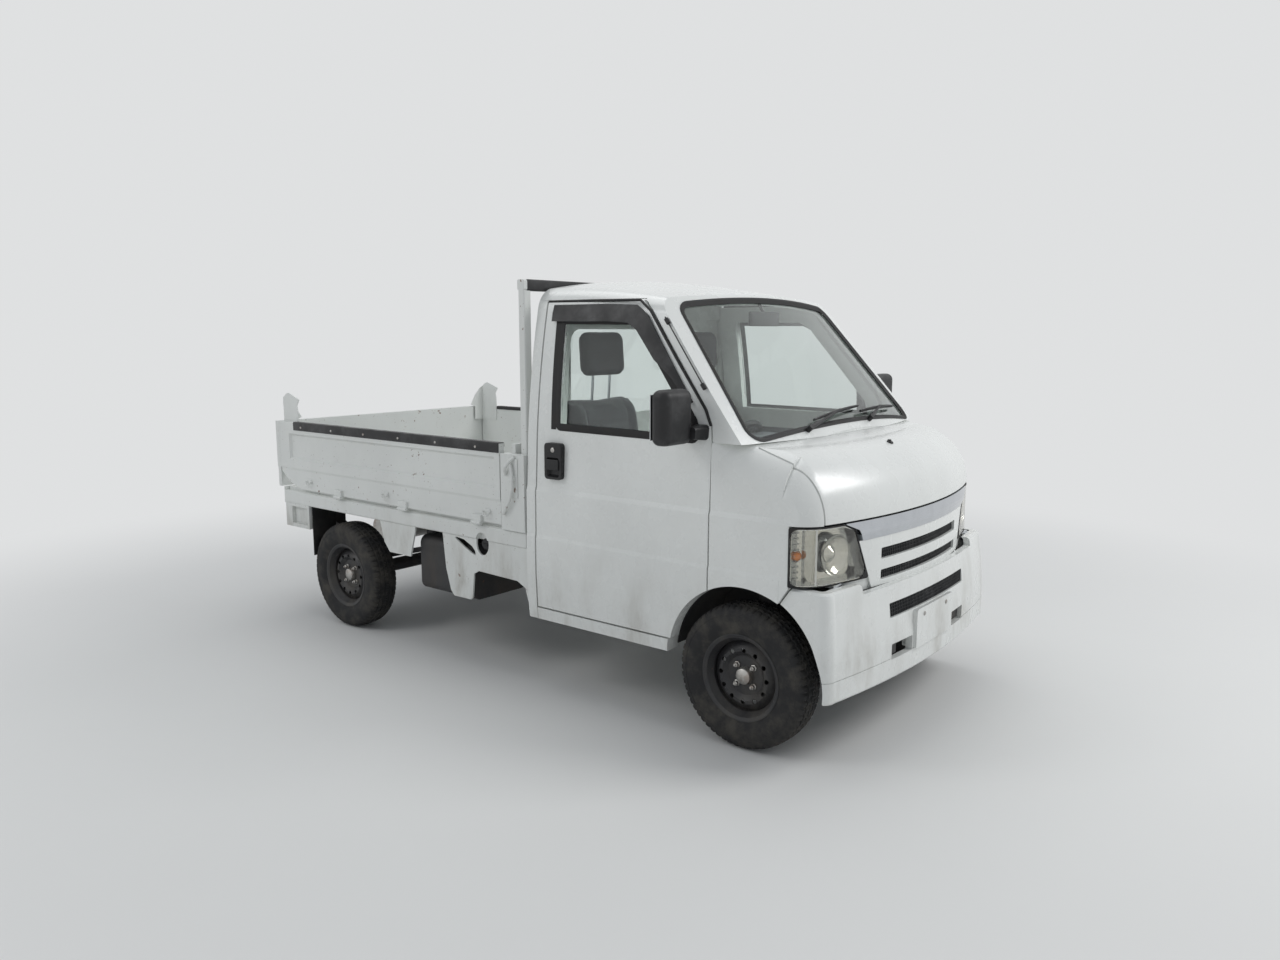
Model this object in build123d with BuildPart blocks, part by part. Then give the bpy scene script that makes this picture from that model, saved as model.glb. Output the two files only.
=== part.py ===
"""A kei truck: a small mid-engined cab and a three-way drop-side bed on a ladder frame.

Millimetres. +Z is up, the front faces -Y, and the truck's left side is +X.
The origin is on the ground, under the middle of the whole truck.
"""
from build123d import *
import math
import os

# Whole vehicle
LENGTH = 3395.0
WIDTH = 1475.0
WHEELBASE = 2420.0
FRONT_AXLE_Y = -1259.0
REAR_AXLE_Y = FRONT_AXLE_Y + WHEELBASE
HALF_TRACK = 645.0
HALF = WIDTH / 2
NOSE_Y = -LENGTH / 2
TAIL_Y = LENGTH / 2

# Wheels and tyres
TYRE_RADIUS = 271.0
WHEEL_Z = TYRE_RADIUS

# Cab: lengthwise places, heights and wall thicknesses
CAB_BACK_Y = -205.0
DOOR_REAR_Y = -262.0
DOOR_FRONT_Y = -1130.0
PANEL_GAP = 6.0
FENDER_REAR_Y = DOOR_FRONT_Y - PANEL_GAP
ROOF_SEAM_Y = -720.0
SILL_Z = 312.0
DOOR_BOTTOM_Z = 368.0
BELT_Z = 1095.0
PILLAR_FOOT_Z = 1122.0
DOOR_TOP_Z = 1634.0
ROOF_EDGE_Z = 1641.0
WALL = 40.0
DOOR_WALL = 56.0
PANEL = 24.0
GLASS = 5.0

# Wheel arch in the side view
ARCH_Y = -1279.0
ARCH_Z = 290.0
ARCH_RADIUS = 328.0
ARCH_FRONT_Y = -1593.0
ARCH_REAR_Y = -962.0

# Windscreen: its foot at the pillars, its slope and its bow in plan
SCREEN_FOOT_Y = -1271.0
SCREEN_FOOT_Z = 1122.0
SCREEN_RUN = 424.0
SCREEN_RISE = 486.0
SCREEN_BOW_RADIUS = 3650.0
SCREEN_FOOT_HALF = 661.0
SCREEN_TOP_HALF = 562.0
SCREEN_HEIGHT = math.hypot(SCREEN_RUN, SCREEN_RISE)

# Nose
HOOD_HALF = 645.0
LAMP_INNER_X = 508.0
LAMP_FOOT_X = 400.0
LAMP_REAR_Y = -1462.0
LAMP_BOTTOM_Z = 645.0
LAMP_TOP_Z = 857.0
CHROME_BOTTOM_Z = 786.0
HOOD_FRONT_Z = 863.0
GRILLE_BOTTOM_Z = 606.0
BUMPER_TOP_Z = 640.0
BUMPER_BOTTOM_Z = 257.0
SLOT_HALF = 345.0

# Bed
BED_FRONT_Y = -55.0
GATE_BOTTOM_Z = 692.0
GATE_TOP_Z = 1043.0
GATE_THICK = 30.0
GATE_REAR_Y = 1660.0
SIDE_GATE_FRONT_Y = -48.0
DECK_Z = 672.0
DECK_THICK = 18.0
DECK_HALF = 700.0
RAIL_HALF = 726.0
RAIL_BOTTOM_Z = 602.0
RAIL_WIDE = 40.0
HEADBOARD_Y = -95.0
GUARD_Y = -165.0
GUARD_TOP_Z = 1727.0

# Chassis
FRAME_HALF = 300.0
FRAME_WIDE = 60.0
FLOOR_Z = 432.0
FLOOR_THICK = 16.0

# Seats and controls: the driver sits on the right
DRIVER_X = -360.0
WHEEL_HUB_Y = -920.0
WHEEL_HUB_Z = 1050.0
STEERING_RADIUS = 183.0
GRIP_RADIUS = 14.0

# Side of the cab, from the sill up: how far each line stands in from full width, and its height
SIDE_LINES = [
    # inset, z
    (13.0, 312.0),
    (7.0, 370.0),
    (0.0, 520.0),
    (0.0, 664.0),
    (4.0, 678.0),
    (5.0, 862.0),
    (11.0, 880.0),
]

# Nose sections, from the doors forward: a round shoulder joins the side to the crowned top
NOSE_SECTIONS = [
    # y, half width, shoulder radius, shoulder top z, middle z
    (-1130.0, 737.5, 60.0, 1160.0, 1172.0),
    (-1270.0, 737.0, 140.0, 1130.0, 1140.0),
    (-1400.0, 734.0, 175.0, 1104.0, 1122.0),
    (-1520.0, 722.0, 185.0, 1078.0, 1110.0),
    (-1700.0, 700.0, 185.0, 1040.0, 1100.0),
]
SHOULDER_STEP = 13.0

# Roll of the nose: an arc carried round a wide bow in plan over an upright front, then round each corner
NOSE_BOW_Y = 578.0
NOSE_BOW_RADIUS = 2230.0
NOSE_ROLL = 240.0
NOSE_ROLL_Z = 866.0
NOSE_CORNER = 140.0
NOSE_CORNER_X = 591.0
NOSE_CORNER_Y = NOSE_BOW_Y - math.sqrt((NOSE_BOW_RADIUS - NOSE_CORNER) ** 2 - NOSE_CORNER_X ** 2)

# Greenhouse sections: the side glass leans in, and the roof falls towards the front
ROOF_SECTIONS = [
    # y, side top x, side top z, shoulder x, shoulder z, middle z
    (-205.0, 647.0, 1608.0, 575.0, 1692.0, 1738.0),
    (-560.0, 647.0, 1600.0, 577.0, 1676.0, 1716.0),
    (-860.0, 645.0, 1584.0, 577.0, 1640.0, 1668.0),
    (-1340.0, 640.0, 1540.0, 570.0, 1570.0, 1590.0),
]
BELT_INSET = 21.0
GLASS_BULGE = 9.0

os.makedirs("parts", exist_ok=True)


def save(part, name):
    """Label a finished piece and write it."""
    part.label = name
    export_step(part, f"parts/{name}.step")


def side_block(points, x_low, x_high):
    """A block with a straight-sided outline in the side view, given as (y, z)."""
    with BuildPart() as block:
        with BuildSketch(Plane.YZ.offset(x_low)):
            with BuildLine():
                Polyline(*points, close=True)
            make_face()
        extrude(amount=x_high - x_low)
    return block.part


def front_block(points, y_front, y_rear):
    """A block with a straight-sided outline in the front view, given as (x, z)."""
    with BuildPart() as block:
        with BuildSketch(Plane.XZ.offset(-y_rear)):
            with BuildLine():
                Polyline(*points, close=True)
            make_face()
        extrude(amount=y_rear - y_front)
    return block.part


def box_between(low, high):
    """A plain box between two corners."""
    with BuildPart() as block:
        with Locations(((low[0] + high[0]) / 2, (low[1] + high[1]) / 2, (low[2] + high[2]) / 2)):
            Box(high[0] - low[0], high[1] - low[1], high[2] - low[2])
    return block.part


def rod(start, end, radius):
    """A round bar between two points."""
    path = Vector(*end) - Vector(*start)
    with BuildPart() as bar:
        with BuildSketch(Plane(origin=start, z_dir=path)):
            Circle(radius)
        extrude(amount=path.length)
    return bar.part


def mirrored(part):
    """The same piece on the other side of the truck."""
    with BuildPart() as other:
        mirror(part, about=Plane.YZ)
    return other.part


def side_steps(half, inset):
    """Points up one side of the body, as (x, z), drawn in by an inset."""
    return [(half - step - inset, z + (inset if index == 0 else 0.0))
            for index, (step, z) in enumerate(SIDE_LINES)]


def nose_section(half, radius, top_z, middle_z, inset):
    """One cross section of the nose: stepped side, round shoulder, crowned top."""
    steps = side_steps(half, inset)
    reach = max(radius - inset, 8.0)
    middle = (half - SHOULDER_STEP - inset - reach, top_z - inset - reach)
    foot = (middle[0] + reach, middle[1])
    bulge = (middle[0] + reach * math.cos(math.pi / 4), middle[1] + reach * math.sin(math.pi / 4))
    top = (middle[0], middle[1] + reach)
    crown = (top[0] / 2, top[1] + 0.75 * (middle_z - top_z))
    with BuildSketch() as sketch:
        with BuildLine():
            Polyline((0, steps[0][1]), *steps, foot)
            ThreePointArc(foot, bulge, top)
            ThreePointArc(top, crown, (0, middle_z - inset))
            mirror(about=Plane.YZ)
        make_face()
    return sketch.sketch


def roof_section(side_x, side_z, shoulder_x, shoulder_z, middle_z, inset):
    """One cross section of the greenhouse: bowed glass line, round edge, crowned roof."""
    base = (HALF - BELT_INSET - inset, BELT_Z)
    side = (side_x - inset, side_z - inset * 0.4)
    shoulder = (shoulder_x - inset * 0.7, shoulder_z - inset)
    glass_mid = ((base[0] + side[0]) / 2 + GLASS_BULGE, (base[1] + side[1]) / 2)
    edge_mid = ((side[0] + shoulder[0]) / 2 + 0.14 * (shoulder[1] - side[1]),
                (side[1] + shoulder[1]) / 2 + 0.14 * (side[0] - shoulder[0]))
    with BuildSketch() as sketch:
        with BuildLine():
            Line((0, BELT_Z), base)
            ThreePointArc(base, glass_mid, side)
            ThreePointArc(side, edge_mid, shoulder)
            ThreePointArc(shoulder, (shoulder[0] / 2, shoulder[1] + 0.75 * (middle_z - inset - shoulder[1])),
                          (0, middle_z - inset))
            mirror(about=Plane.YZ)
        make_face()
    return sketch.sketch


def screen_plane(inset):
    """Plane across the windscreen: its normal climbs the slope, local -Y points out of the glass."""
    out = Vector(0, -SCREEN_RISE, SCREEN_RUN).normalized()
    foot = Vector(0, SCREEN_FOOT_Y, SCREEN_FOOT_Z) - out * inset
    return Plane(origin=foot, x_dir=(1, 0, 0), z_dir=(0, SCREEN_RUN, SCREEN_RISE))


def bow_depth(half):
    """How far the bowed windscreen stands proud at its middle, over a given half width."""
    return SCREEN_BOW_RADIUS - math.sqrt(SCREEN_BOW_RADIUS ** 2 - half ** 2)


def screen_space(inset, depth):
    """The space in front of the bowed windscreen surface, as deep as asked."""
    reach = 900.0
    climb = 900.0
    sag = bow_depth(reach) - bow_depth(SCREEN_FOOT_HALF)
    with BuildPart() as space:
        with BuildSketch(screen_plane(inset)):
            with BuildLine():
                ThreePointArc((-reach, sag), (0, -bow_depth(SCREEN_FOOT_HALF)), (reach, sag))
                Polyline((reach, sag), (reach, -depth), (-reach, -depth), (-reach, sag))
            make_face()
        extrude(amount=climb, both=True)
    return space.part


def cab_form(inset):
    """The closed form of the cab and nose, drawn in all round by an inset."""
    with BuildPart() as form:
        for y, *values in ROOF_SECTIONS:
            with BuildSketch(Plane.XZ.offset(-y)):
                add(roof_section(*values, inset))
        loft()
        add(screen_space(inset, 700.0), mode=Mode.SUBTRACT)
        door_section = NOSE_SECTIONS[0]
        with BuildSketch(Plane.XZ.offset(-CAB_BACK_Y)):
            with BuildLine():
                steps = side_steps(door_section[1], inset)
                belt = (HALF - BELT_INSET - inset, BELT_Z)
                Polyline((0, steps[0][1]), *steps, belt, (0, BELT_Z))
                mirror(about=Plane.YZ)
            make_face()
        extrude(amount=CAB_BACK_Y - door_section[0])
    return form.part


def rolled_form(radius, roll, axis_x, axis_y, top_points):
    """A body turned about an upright axis: an upright wall, then an arc inwards, then a top."""
    reach = min(roll, radius)
    end = (radius - reach, NOSE_ROLL_Z + math.sqrt(roll ** 2 - (roll - reach) ** 2))
    half_turn = math.acos((roll - reach) / roll) / 2
    middle = (radius - roll + roll * math.cos(half_turn), NOSE_ROLL_Z + roll * math.sin(half_turn))
    with BuildPart() as form:
        with BuildSketch(Plane(origin=(axis_x, axis_y, 0), x_dir=(0, -1, 0), z_dir=(-1, 0, 0))):
            with BuildLine():
                Polyline((0, 100), (radius, 100), (radius, NOSE_ROLL_Z))
                ThreePointArc((radius, NOSE_ROLL_Z), middle, end)
                Polyline(end, *top_points, (0, 100))
            make_face()
        revolve(axis=Axis((axis_x, axis_y, 0), (0, 0, 1)))
    return form.part


def nose_form(inset):
    """The closed form of the nose: lofted sections cut to the roll, round the bow and round each corner."""
    with BuildPart() as form:
        for y, *values in NOSE_SECTIONS:
            with BuildSketch(Plane.XZ.offset(-y)):
                add(nose_section(*values, inset))
        loft()
        bow = rolled_form(NOSE_BOW_RADIUS - inset, NOSE_ROLL - inset, 0, NOSE_BOW_Y,
                          [(NOSE_BOW_Y - NOSE_SECTIONS[0][0], 1190 - inset), (0, 1190 - inset)])
        add(bow, mode=Mode.INTERSECT)
        for sign in (-1, 1):
            corner = Vector(sign * NOSE_CORNER_X, NOSE_CORNER_Y)
            out = (corner - Vector(0, NOSE_BOW_Y)).normalized() * 500
            with BuildPart() as outside:
                with BuildSketch(Plane.XY.offset(150)):
                    with BuildLine():
                        Polyline((corner.X, corner.Y), (corner.X + out.X, corner.Y + out.Y),
                                 (sign * 1000, corner.Y + out.Y), (sign * 1000, corner.Y), close=True)
                    make_face()
                extrude(amount=1100)
                add(rolled_form(NOSE_CORNER - inset, NOSE_ROLL - inset, corner.X, corner.Y, []), mode=Mode.SUBTRACT)
            add(outside.part, mode=Mode.SUBTRACT)
    return form.part


def arch_tool(x_low, x_high, growth):
    """The space of a front wheel arch, through the body side."""
    with BuildPart() as tool:
        with BuildSketch(Plane.YZ.offset(x_low)):
            with Locations((ARCH_Y, ARCH_Z)):
                Circle(ARCH_RADIUS + growth)
            with BuildLine():
                Polyline((ARCH_FRONT_Y - growth, 100), (ARCH_FRONT_Y - growth, ARCH_Z),
                         (ARCH_REAR_Y + growth, ARCH_Z), (ARCH_REAR_Y + growth, 100), close=True)
            make_face()
        extrude(amount=x_high - x_low)
    return tool.part


# Whole forms that the panels are cut from
cab_outer = cab_form(0.0)
cab_inner = cab_form(WALL)
door_inner = cab_form(DOOR_WALL)
nose_outer = nose_form(0.0)
nose_inner = nose_form(PANEL)
arches = arch_tool(-800.0, 800.0, 0.0)

# Rear wall of the cab: a pan that carries the door pillars, with the rear window cut
REAR_WINDOW = (960.0, 380.0, 60.0, 1335.0)
BACK_WALL = 28.0
pillar_front = DOOR_REAR_Y + PANEL_GAP + 2.0
back_outline = [(CAB_BACK_Y, SILL_Z), (CAB_BACK_Y, ROOF_EDGE_Z - 1), (pillar_front, ROOF_EDGE_Z - 1),
                (pillar_front, SILL_Z)]
with BuildPart() as cab_back:
    add(side_block(back_outline, -HALF, HALF))
    add(cab_outer, mode=Mode.INTERSECT)
    with BuildSketch(Plane.XZ.offset(-(CAB_BACK_Y - BACK_WALL))):
        with Locations((0, 1010)):
            Rectangle(1250, 1120)
    extrude(amount=60, mode=Mode.SUBTRACT)
    add(box_between((-640, -300, 300), (640, -150, 606)), mode=Mode.SUBTRACT)
    with BuildSketch(Plane.XZ):
        with Locations((0, REAR_WINDOW[3])):
            RectangleRounded(REAR_WINDOW[0], REAR_WINDOW[1], REAR_WINDOW[2])
    extrude(amount=300, mode=Mode.SUBTRACT)
save(cab_back.part, "cab_back")

# Roof skin behind the front seam
with BuildPart() as roof:
    add(box_between((-HALF, ROOF_SEAM_Y, ROOF_EDGE_Z), (HALF, CAB_BACK_Y, 1800)))
    add(cab_outer, mode=Mode.INTERSECT)
    add(cab_form(PANEL), mode=Mode.SUBTRACT)
save(roof.part, "roof")

# Doors: whole thickness, window cut, lower front corner shaped by the wheel arch
DOOR_OUTLINE = [
    # y, z
    (DOOR_REAR_Y, DOOR_BOTTOM_Z),
    (DOOR_REAR_Y, DOOR_TOP_Z),
    (-745.0, DOOR_TOP_Z),
    (-800.0, 1590.0),
    (-1094.0, 1235.0),
    (-1122.0, 1180.0),
    (DOOR_FRONT_Y, 1120.0),
    (DOOR_FRONT_Y, 560.0),
    (-960.0, DOOR_BOTTOM_Z),
]
WINDOW_OUTLINE = [
    # y, z
    (-372.0, 1132.0),
    (-356.0, 1560.0),
    (-716.0, 1556.0),
    (-776.0, 1528.0),
    (-1050.0, 1192.0),
    (-1066.0, 1127.0),
]
with BuildPart() as door_right:
    add(side_block(DOOR_OUTLINE, -800, -605))
    add(cab_outer, mode=Mode.INTERSECT)
    add(door_inner, mode=Mode.SUBTRACT)
    add(arches, mode=Mode.SUBTRACT)
    add(side_block(WINDOW_OUTLINE, -800, -500), mode=Mode.SUBTRACT)
save(door_right.part, "door_right")
save(mirrored(door_right.part), "door_left")

# Door glass, in the middle of the frame's thickness
with BuildPart() as door_glass_right:
    add(side_block(WINDOW_OUTLINE, -800, -500))
    add(cab_form(22.0), mode=Mode.INTERSECT)
    add(cab_form(22.0 + GLASS), mode=Mode.SUBTRACT)
save(door_glass_right.part, "door_glass_right")
save(mirrored(door_glass_right.part), "door_glass_left")

# Windscreen frame: front roof edge and both pillars, with the screen opening cut
with BuildPart() as screen_opening:
    with BuildSketch(Plane(origin=(0, SCREEN_FOOT_Y, SCREEN_FOOT_Z), x_dir=(1, 0, 0),
                           z_dir=(0, -SCREEN_RISE, SCREEN_RUN))):
        with BuildLine():
            Polyline((-SCREEN_FOOT_HALF, 0), (-SCREEN_TOP_HALF, SCREEN_HEIGHT),
                     (SCREEN_TOP_HALF, SCREEN_HEIGHT), (SCREEN_FOOT_HALF, 0), close=True)
        make_face()
        fillet(vertices(), 60)
    extrude(amount=200, both=True)

frame_outline = [(ROOF_SEAM_Y, 1800.0), (ROOF_SEAM_Y, ROOF_EDGE_Z), (-752.0, ROOF_EDGE_Z),
                 (-807.0, 1596.0), (-1101.0, 1240.0), (-1128.5, 1183.0), (FENDER_REAR_Y, PILLAR_FOOT_Z),
                 (-1420.0, PILLAR_FOOT_Z), (-1420.0, 1800.0)]
with BuildPart() as windscreen_frame:
    add(side_block(frame_outline, -HALF, HALF))
    add(cab_outer, mode=Mode.INTERSECT)
    add(cab_inner, mode=Mode.SUBTRACT)
    add(screen_opening.part, mode=Mode.SUBTRACT)

def nose_arc_block(rear, front, z_low, z_high):
    """A block between two bowed lines in plan, each given as (half width, end y, middle y)."""
    with BuildPart() as block:
        with BuildSketch(Plane.XY.offset(z_low)):
            with BuildLine():
                half, end, middle = rear
                ThreePointArc((-half, end), (0, middle), (half, end))
                half_front, end_front, middle_front = front
                ThreePointArc((-half_front, end_front), (0, middle_front), (half_front, end_front))
                Line((-half, end), (-half_front, end_front))
                Line((half, end), (half_front, end_front))
            make_face()
        extrude(amount=z_high - z_low)
    return block.part


# Cowl under the glass, welded to the pillars
with BuildPart() as cowl:
    add(nose_arc_block((HOOD_HALF + 20, -1225, -1289), (HOOD_HALF + 20, -1282, -1346), 1040, 1300))
    add(nose_outer, mode=Mode.INTERSECT)
    add(nose_inner, mode=Mode.SUBTRACT)
with BuildPart() as screen_surround:
    add(windscreen_frame.part)
    add(cowl.part)
save(screen_surround.part, "windscreen_frame")

# Glass of the windscreen and of the rear window
with BuildPart() as windscreen:
    add(screen_opening.part)
    add(cab_form(8.0), mode=Mode.INTERSECT)
    add(cab_form(8.0 + GLASS), mode=Mode.SUBTRACT)
    add(screen_surround.part, mode=Mode.SUBTRACT)
with BuildPart() as rear_window:
    with BuildSketch(Plane.XZ.offset(-(CAB_BACK_Y - 12))):
        with Locations((0, REAR_WINDOW[3])):
            RectangleRounded(REAR_WINDOW[0], REAR_WINDOW[1], REAR_WINDOW[2])
    extrude(amount=GLASS)
with BuildPart() as cab_glass:
    add(windscreen.part)
    add(rear_window.part)
save(cab_glass.part, "cab_glass")

# Front body sides: skins from the door to the lamps, cut round the arch and under the hood
FENDER_OUTLINE = [
    # y, z
    (FENDER_REAR_Y, PILLAR_FOOT_Z),
    (FENDER_REAR_Y, 400.0),
    (-1350.0, 400.0),
    (-1421.0, 577.0),
    (-1461.0, 640.0),
    (-1459.0, 860.0),
    (-1650.0, 860.0),
    (-1650.0, PILLAR_FOOT_Z),
]
with BuildPart() as fender_right:
    add(side_block(FENDER_OUTLINE, -HALF, -HOOD_HALF - PANEL_GAP))
    add(nose_outer, mode=Mode.INTERSECT)
    add(nose_inner, mode=Mode.SUBTRACT)
    add(arches, mode=Mode.SUBTRACT)
    add(cowl.part, mode=Mode.SUBTRACT)
with BuildPart() as front_fenders:
    add(fender_right.part)
    add(mirrored(fender_right.part))
save(front_fenders.part, "front_fenders")


# Hood: the short front lid
with BuildPart() as hood:
    add(nose_arc_block((HOOD_HALF, -1288, -1352), (HOOD_HALF, -1700, -1760), HOOD_FRONT_Z, 1300))
    add(nose_outer, mode=Mode.INTERSECT)
    add(nose_inner, mode=Mode.SUBTRACT)
save(hood.part, "hood")

# Ends of the bright strip, drawn to a point over the lamps
WING_TIP_X = 550.0
WING_ROOT_Z = 830.0
WING_FOOT_X = 458.0

# Head lamps, let into the front corners: a clear lens over a housing open to the front
LAMP_GAP = 4.0
LENS = 4.0
LAMP_DEPTH = 46.0
LAMP_WALL = 6.0
DIVIDER_X = 668.0
LAMP_FOOT = (560.0, 620.0)
LAMP_FOOT_Y = (-1580.0, -1545.0)
LAMP_FOOT_TOP_Z = LAMP_BOTTOM_Z + LAMP_GAP


def lamp_outline(gap):
    """The right lamp in the front view: its inner edge leans inwards towards the foot."""
    lean = (LAMP_INNER_X - LAMP_FOOT_X) / (LAMP_TOP_Z - GRILLE_BOTTOM_Z)
    low = LAMP_BOTTOM_Z + gap
    high = LAMP_TOP_Z - gap
    inner = [LAMP_FOOT_X + (z - GRILLE_BOTTOM_Z) * lean + gap for z in (low, WING_ROOT_Z)]
    return [(-HALF, low), (-inner[0], low), (-inner[1], WING_ROOT_Z), (-WING_TIP_X - gap, high), (-HALF, high)]


nose_behind_lens = nose_form(LENS)
nose_behind_lamp = nose_form(LAMP_DEPTH)
with BuildPart() as lens_right:
    add(front_block(lamp_outline(LAMP_GAP), -1700, LAMP_REAR_Y))
    add(nose_outer, mode=Mode.INTERSECT)
    add(nose_behind_lens, mode=Mode.SUBTRACT)
with BuildPart() as headlamps:
    add(lens_right.part)
    add(mirrored(lens_right.part))
save(headlamps.part, "headlamps")

with BuildPart() as lamp_cavity:
    add(front_block(lamp_outline(LAMP_GAP + LAMP_WALL), -1700, LAMP_REAR_Y - LAMP_WALL))
    add(nose_form(LAMP_DEPTH - LAMP_WALL), mode=Mode.SUBTRACT)
    add(box_between((-DIVIDER_X - LAMP_WALL, -1700, LAMP_BOTTOM_Z), (-DIVIDER_X, LAMP_REAR_Y, LAMP_TOP_Z)),
        mode=Mode.SUBTRACT)
with BuildPart() as housing_right:
    add(front_block(lamp_outline(LAMP_GAP), -1700, LAMP_REAR_Y))
    add(nose_behind_lens, mode=Mode.INTERSECT)
    add(nose_behind_lamp, mode=Mode.SUBTRACT)
    add(lamp_cavity.part, mode=Mode.SUBTRACT)
    add(box_between((-LAMP_FOOT[1], LAMP_FOOT_Y[0], BUMPER_TOP_Z), (-LAMP_FOOT[0], LAMP_FOOT_Y[1], LAMP_FOOT_TOP_Z)))
with BuildPart() as lamp_housings:
    add(housing_right.part)
    add(mirrored(housing_right.part))
save(lamp_housings.part, "lamp_housings")

# Grille panel with two slots; its sides lean with the lamps
GRILLE_SLOTS = [
    # bottom z, top z
    (626.0, 662.0),
    (702.0, 743.0),
]
GRILLE_DEPTH = 30.0
GRILLE_FRONT = (LAMP_INNER_X, -1593.0, -1650.0)
GRILLE_REAR = (LAMP_INNER_X, GRILLE_FRONT[1] + GRILLE_DEPTH, GRILLE_FRONT[2] + GRILLE_DEPTH)
with BuildPart() as grille:
    add(nose_arc_block(GRILLE_REAR, GRILLE_FRONT, GRILLE_BOTTOM_Z, CHROME_BOTTOM_Z))
    add(front_block([(-LAMP_FOOT_X, GRILLE_BOTTOM_Z), (LAMP_FOOT_X, GRILLE_BOTTOM_Z),
                     (LAMP_INNER_X, LAMP_TOP_Z), (-LAMP_INNER_X, LAMP_TOP_Z)], -1800, -1400), mode=Mode.INTERSECT)
    for slot_low, slot_high in GRILLE_SLOTS:
        with BuildSketch(Plane.XZ.offset(1500)):
            with Locations((0, (slot_low + slot_high) / 2)):
                RectangleRounded(2 * SLOT_HALF, slot_high - slot_low, 6)
        extrude(amount=200, mode=Mode.SUBTRACT)
save(grille.part, "grille")

# Bright strip across the top of the grille: a ridged section carried round the bow
CHROME_SECTION = [
    # proud of the nose, z
    (-24.0, CHROME_BOTTOM_Z),
    (1.0, CHROME_BOTTOM_Z),
    (9.0, 812.0),
    (10.0, 826.0),
    (3.0, HOOD_FRONT_Z - 6.0),
    (-24.0, HOOD_FRONT_Z - 6.0),
]
with BuildPart() as grille_trim:
    with BuildSketch(Plane(origin=(0, NOSE_BOW_Y, 0), x_dir=(0, -1, 0), z_dir=(-1, 0, 0))):
        with BuildLine():
            Polyline(*[(NOSE_BOW_RADIUS + proud, z) for proud, z in CHROME_SECTION], close=True)
        make_face()
    revolve(axis=Axis((0, NOSE_BOW_Y, 0), (0, 0, 1)))
    wing = [(WING_FOOT_X, CHROME_BOTTOM_Z), (LAMP_INNER_X - 16, WING_ROOT_Z), (WING_TIP_X, LAMP_TOP_Z - 3),
            (WING_TIP_X, LAMP_TOP_Z + 3)]
    other_wing = [(-x, z) for x, z in wing[::-1]]
    add(front_block(wing + other_wing, -1800, -1400), mode=Mode.INTERSECT)
save(grille_trim.part, "grille_trim")

# Bumper: a bowed shell with square corners, a leaning face, intakes and a blank panel
BUMPER_LEVELS = [
    # z, set in
    (BUMPER_BOTTOM_Z, 6.0),
    (BUMPER_BOTTOM_Z + 8, 0.0),
    (400.0, 0.0),
    (520.0, 10.0),
    (622.0, 22.0),
    (633.0, 25.0),
    (BUMPER_TOP_Z, 34.0),
]
BUMPER_WALL = 26.0
BUMPER_CORNER = (680.0, -1632.0)
BUMPER_SIDE = (HALF, -1565.0)
BUMPER_BACK_Y = -1400.0
PLATE_PROUD = 8.0


def bumper_section(inset):
    """Plan outline of the bumper, drawn in by an inset."""
    corner = (BUMPER_CORNER[0] - inset * 0.6, BUMPER_CORNER[1] + inset)
    side = (BUMPER_SIDE[0] - inset, BUMPER_SIDE[1])
    bulge = (corner[0] + 0.78 * (side[0] - corner[0]), corner[1] + 0.27 * (side[1] - corner[1]))
    with BuildSketch() as sketch:
        with BuildLine():
            ThreePointArc((-corner[0], corner[1]), (0, NOSE_Y + PLATE_PROUD + inset), corner)
            for sign in (-1, 1):
                ThreePointArc((sign * corner[0], corner[1]), (sign * bulge[0], bulge[1]),
                              (sign * side[0], side[1]))
                Line((sign * side[0], side[1]), (sign * side[0], BUMPER_BACK_Y))
            Line((-side[0], BUMPER_BACK_Y), (side[0], BUMPER_BACK_Y))
        make_face()
    return sketch.sketch


def bumper_form(inset):
    """Bumper body: upright below the knee, leaning back above it, with its top edge rolled in."""
    with BuildPart() as form:
        for z, set_in in BUMPER_LEVELS:
            with BuildSketch(Plane.XY.offset(z)):
                add(bumper_section(inset + set_in))
        loft(ruled=True)
    return form.part


bumper_side = [(-1800, BUMPER_BOTTOM_Z), (ARCH_FRONT_Y - 4, BUMPER_BOTTOM_Z), (-1380, 520),
               (-1427, 577), (-1467, BUMPER_TOP_Z), (-1800, BUMPER_TOP_Z)]
INTAKES = [
    # middle x, middle z, width, height
    (0.0, 515.0, 2 * SLOT_HALF, 54.0),
    (-260.0, 361.0, 158.0, 58.0),
    (260.0, 361.0, 158.0, 58.0),
]
LIP_SEAM_Z = 335.0
LIP_SEAM = 3.0
with BuildPart() as lip_groove:
    add(box_between((-HALF, -1800, LIP_SEAM_Z), (HALF, ARCH_FRONT_Y, LIP_SEAM_Z + LIP_SEAM)))
    add(bumper_form(LIP_SEAM), mode=Mode.SUBTRACT)
with BuildPart() as front_bumper:
    add(side_block(bumper_side, -HALF, HALF))
    add(bumper_form(0.0), mode=Mode.INTERSECT)
    add(bumper_form(BUMPER_WALL), mode=Mode.SUBTRACT)
    add(lip_groove.part, mode=Mode.SUBTRACT)
    add(arches, mode=Mode.SUBTRACT)
    add(box_between((-LAMP_INNER_X, -1800, GRILLE_BOTTOM_Z), (LAMP_INNER_X, -1300, 700)),
        mode=Mode.SUBTRACT)
    for middle_x, middle_z, wide, high in INTAKES:
        with BuildSketch(Plane.XZ.offset(1500)):
            with Locations((middle_x, middle_z)):
                RectangleRounded(wide, high, 6)
        extrude(amount=300, mode=Mode.SUBTRACT)
    with BuildSketch(Plane.XZ.offset(1640)):
        with Locations((0, 410)):
            RectangleRounded(340, 150, 8)
    extrude(amount=-NOSE_Y - 1640)
save(front_bumper.part, "front_bumper")

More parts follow.
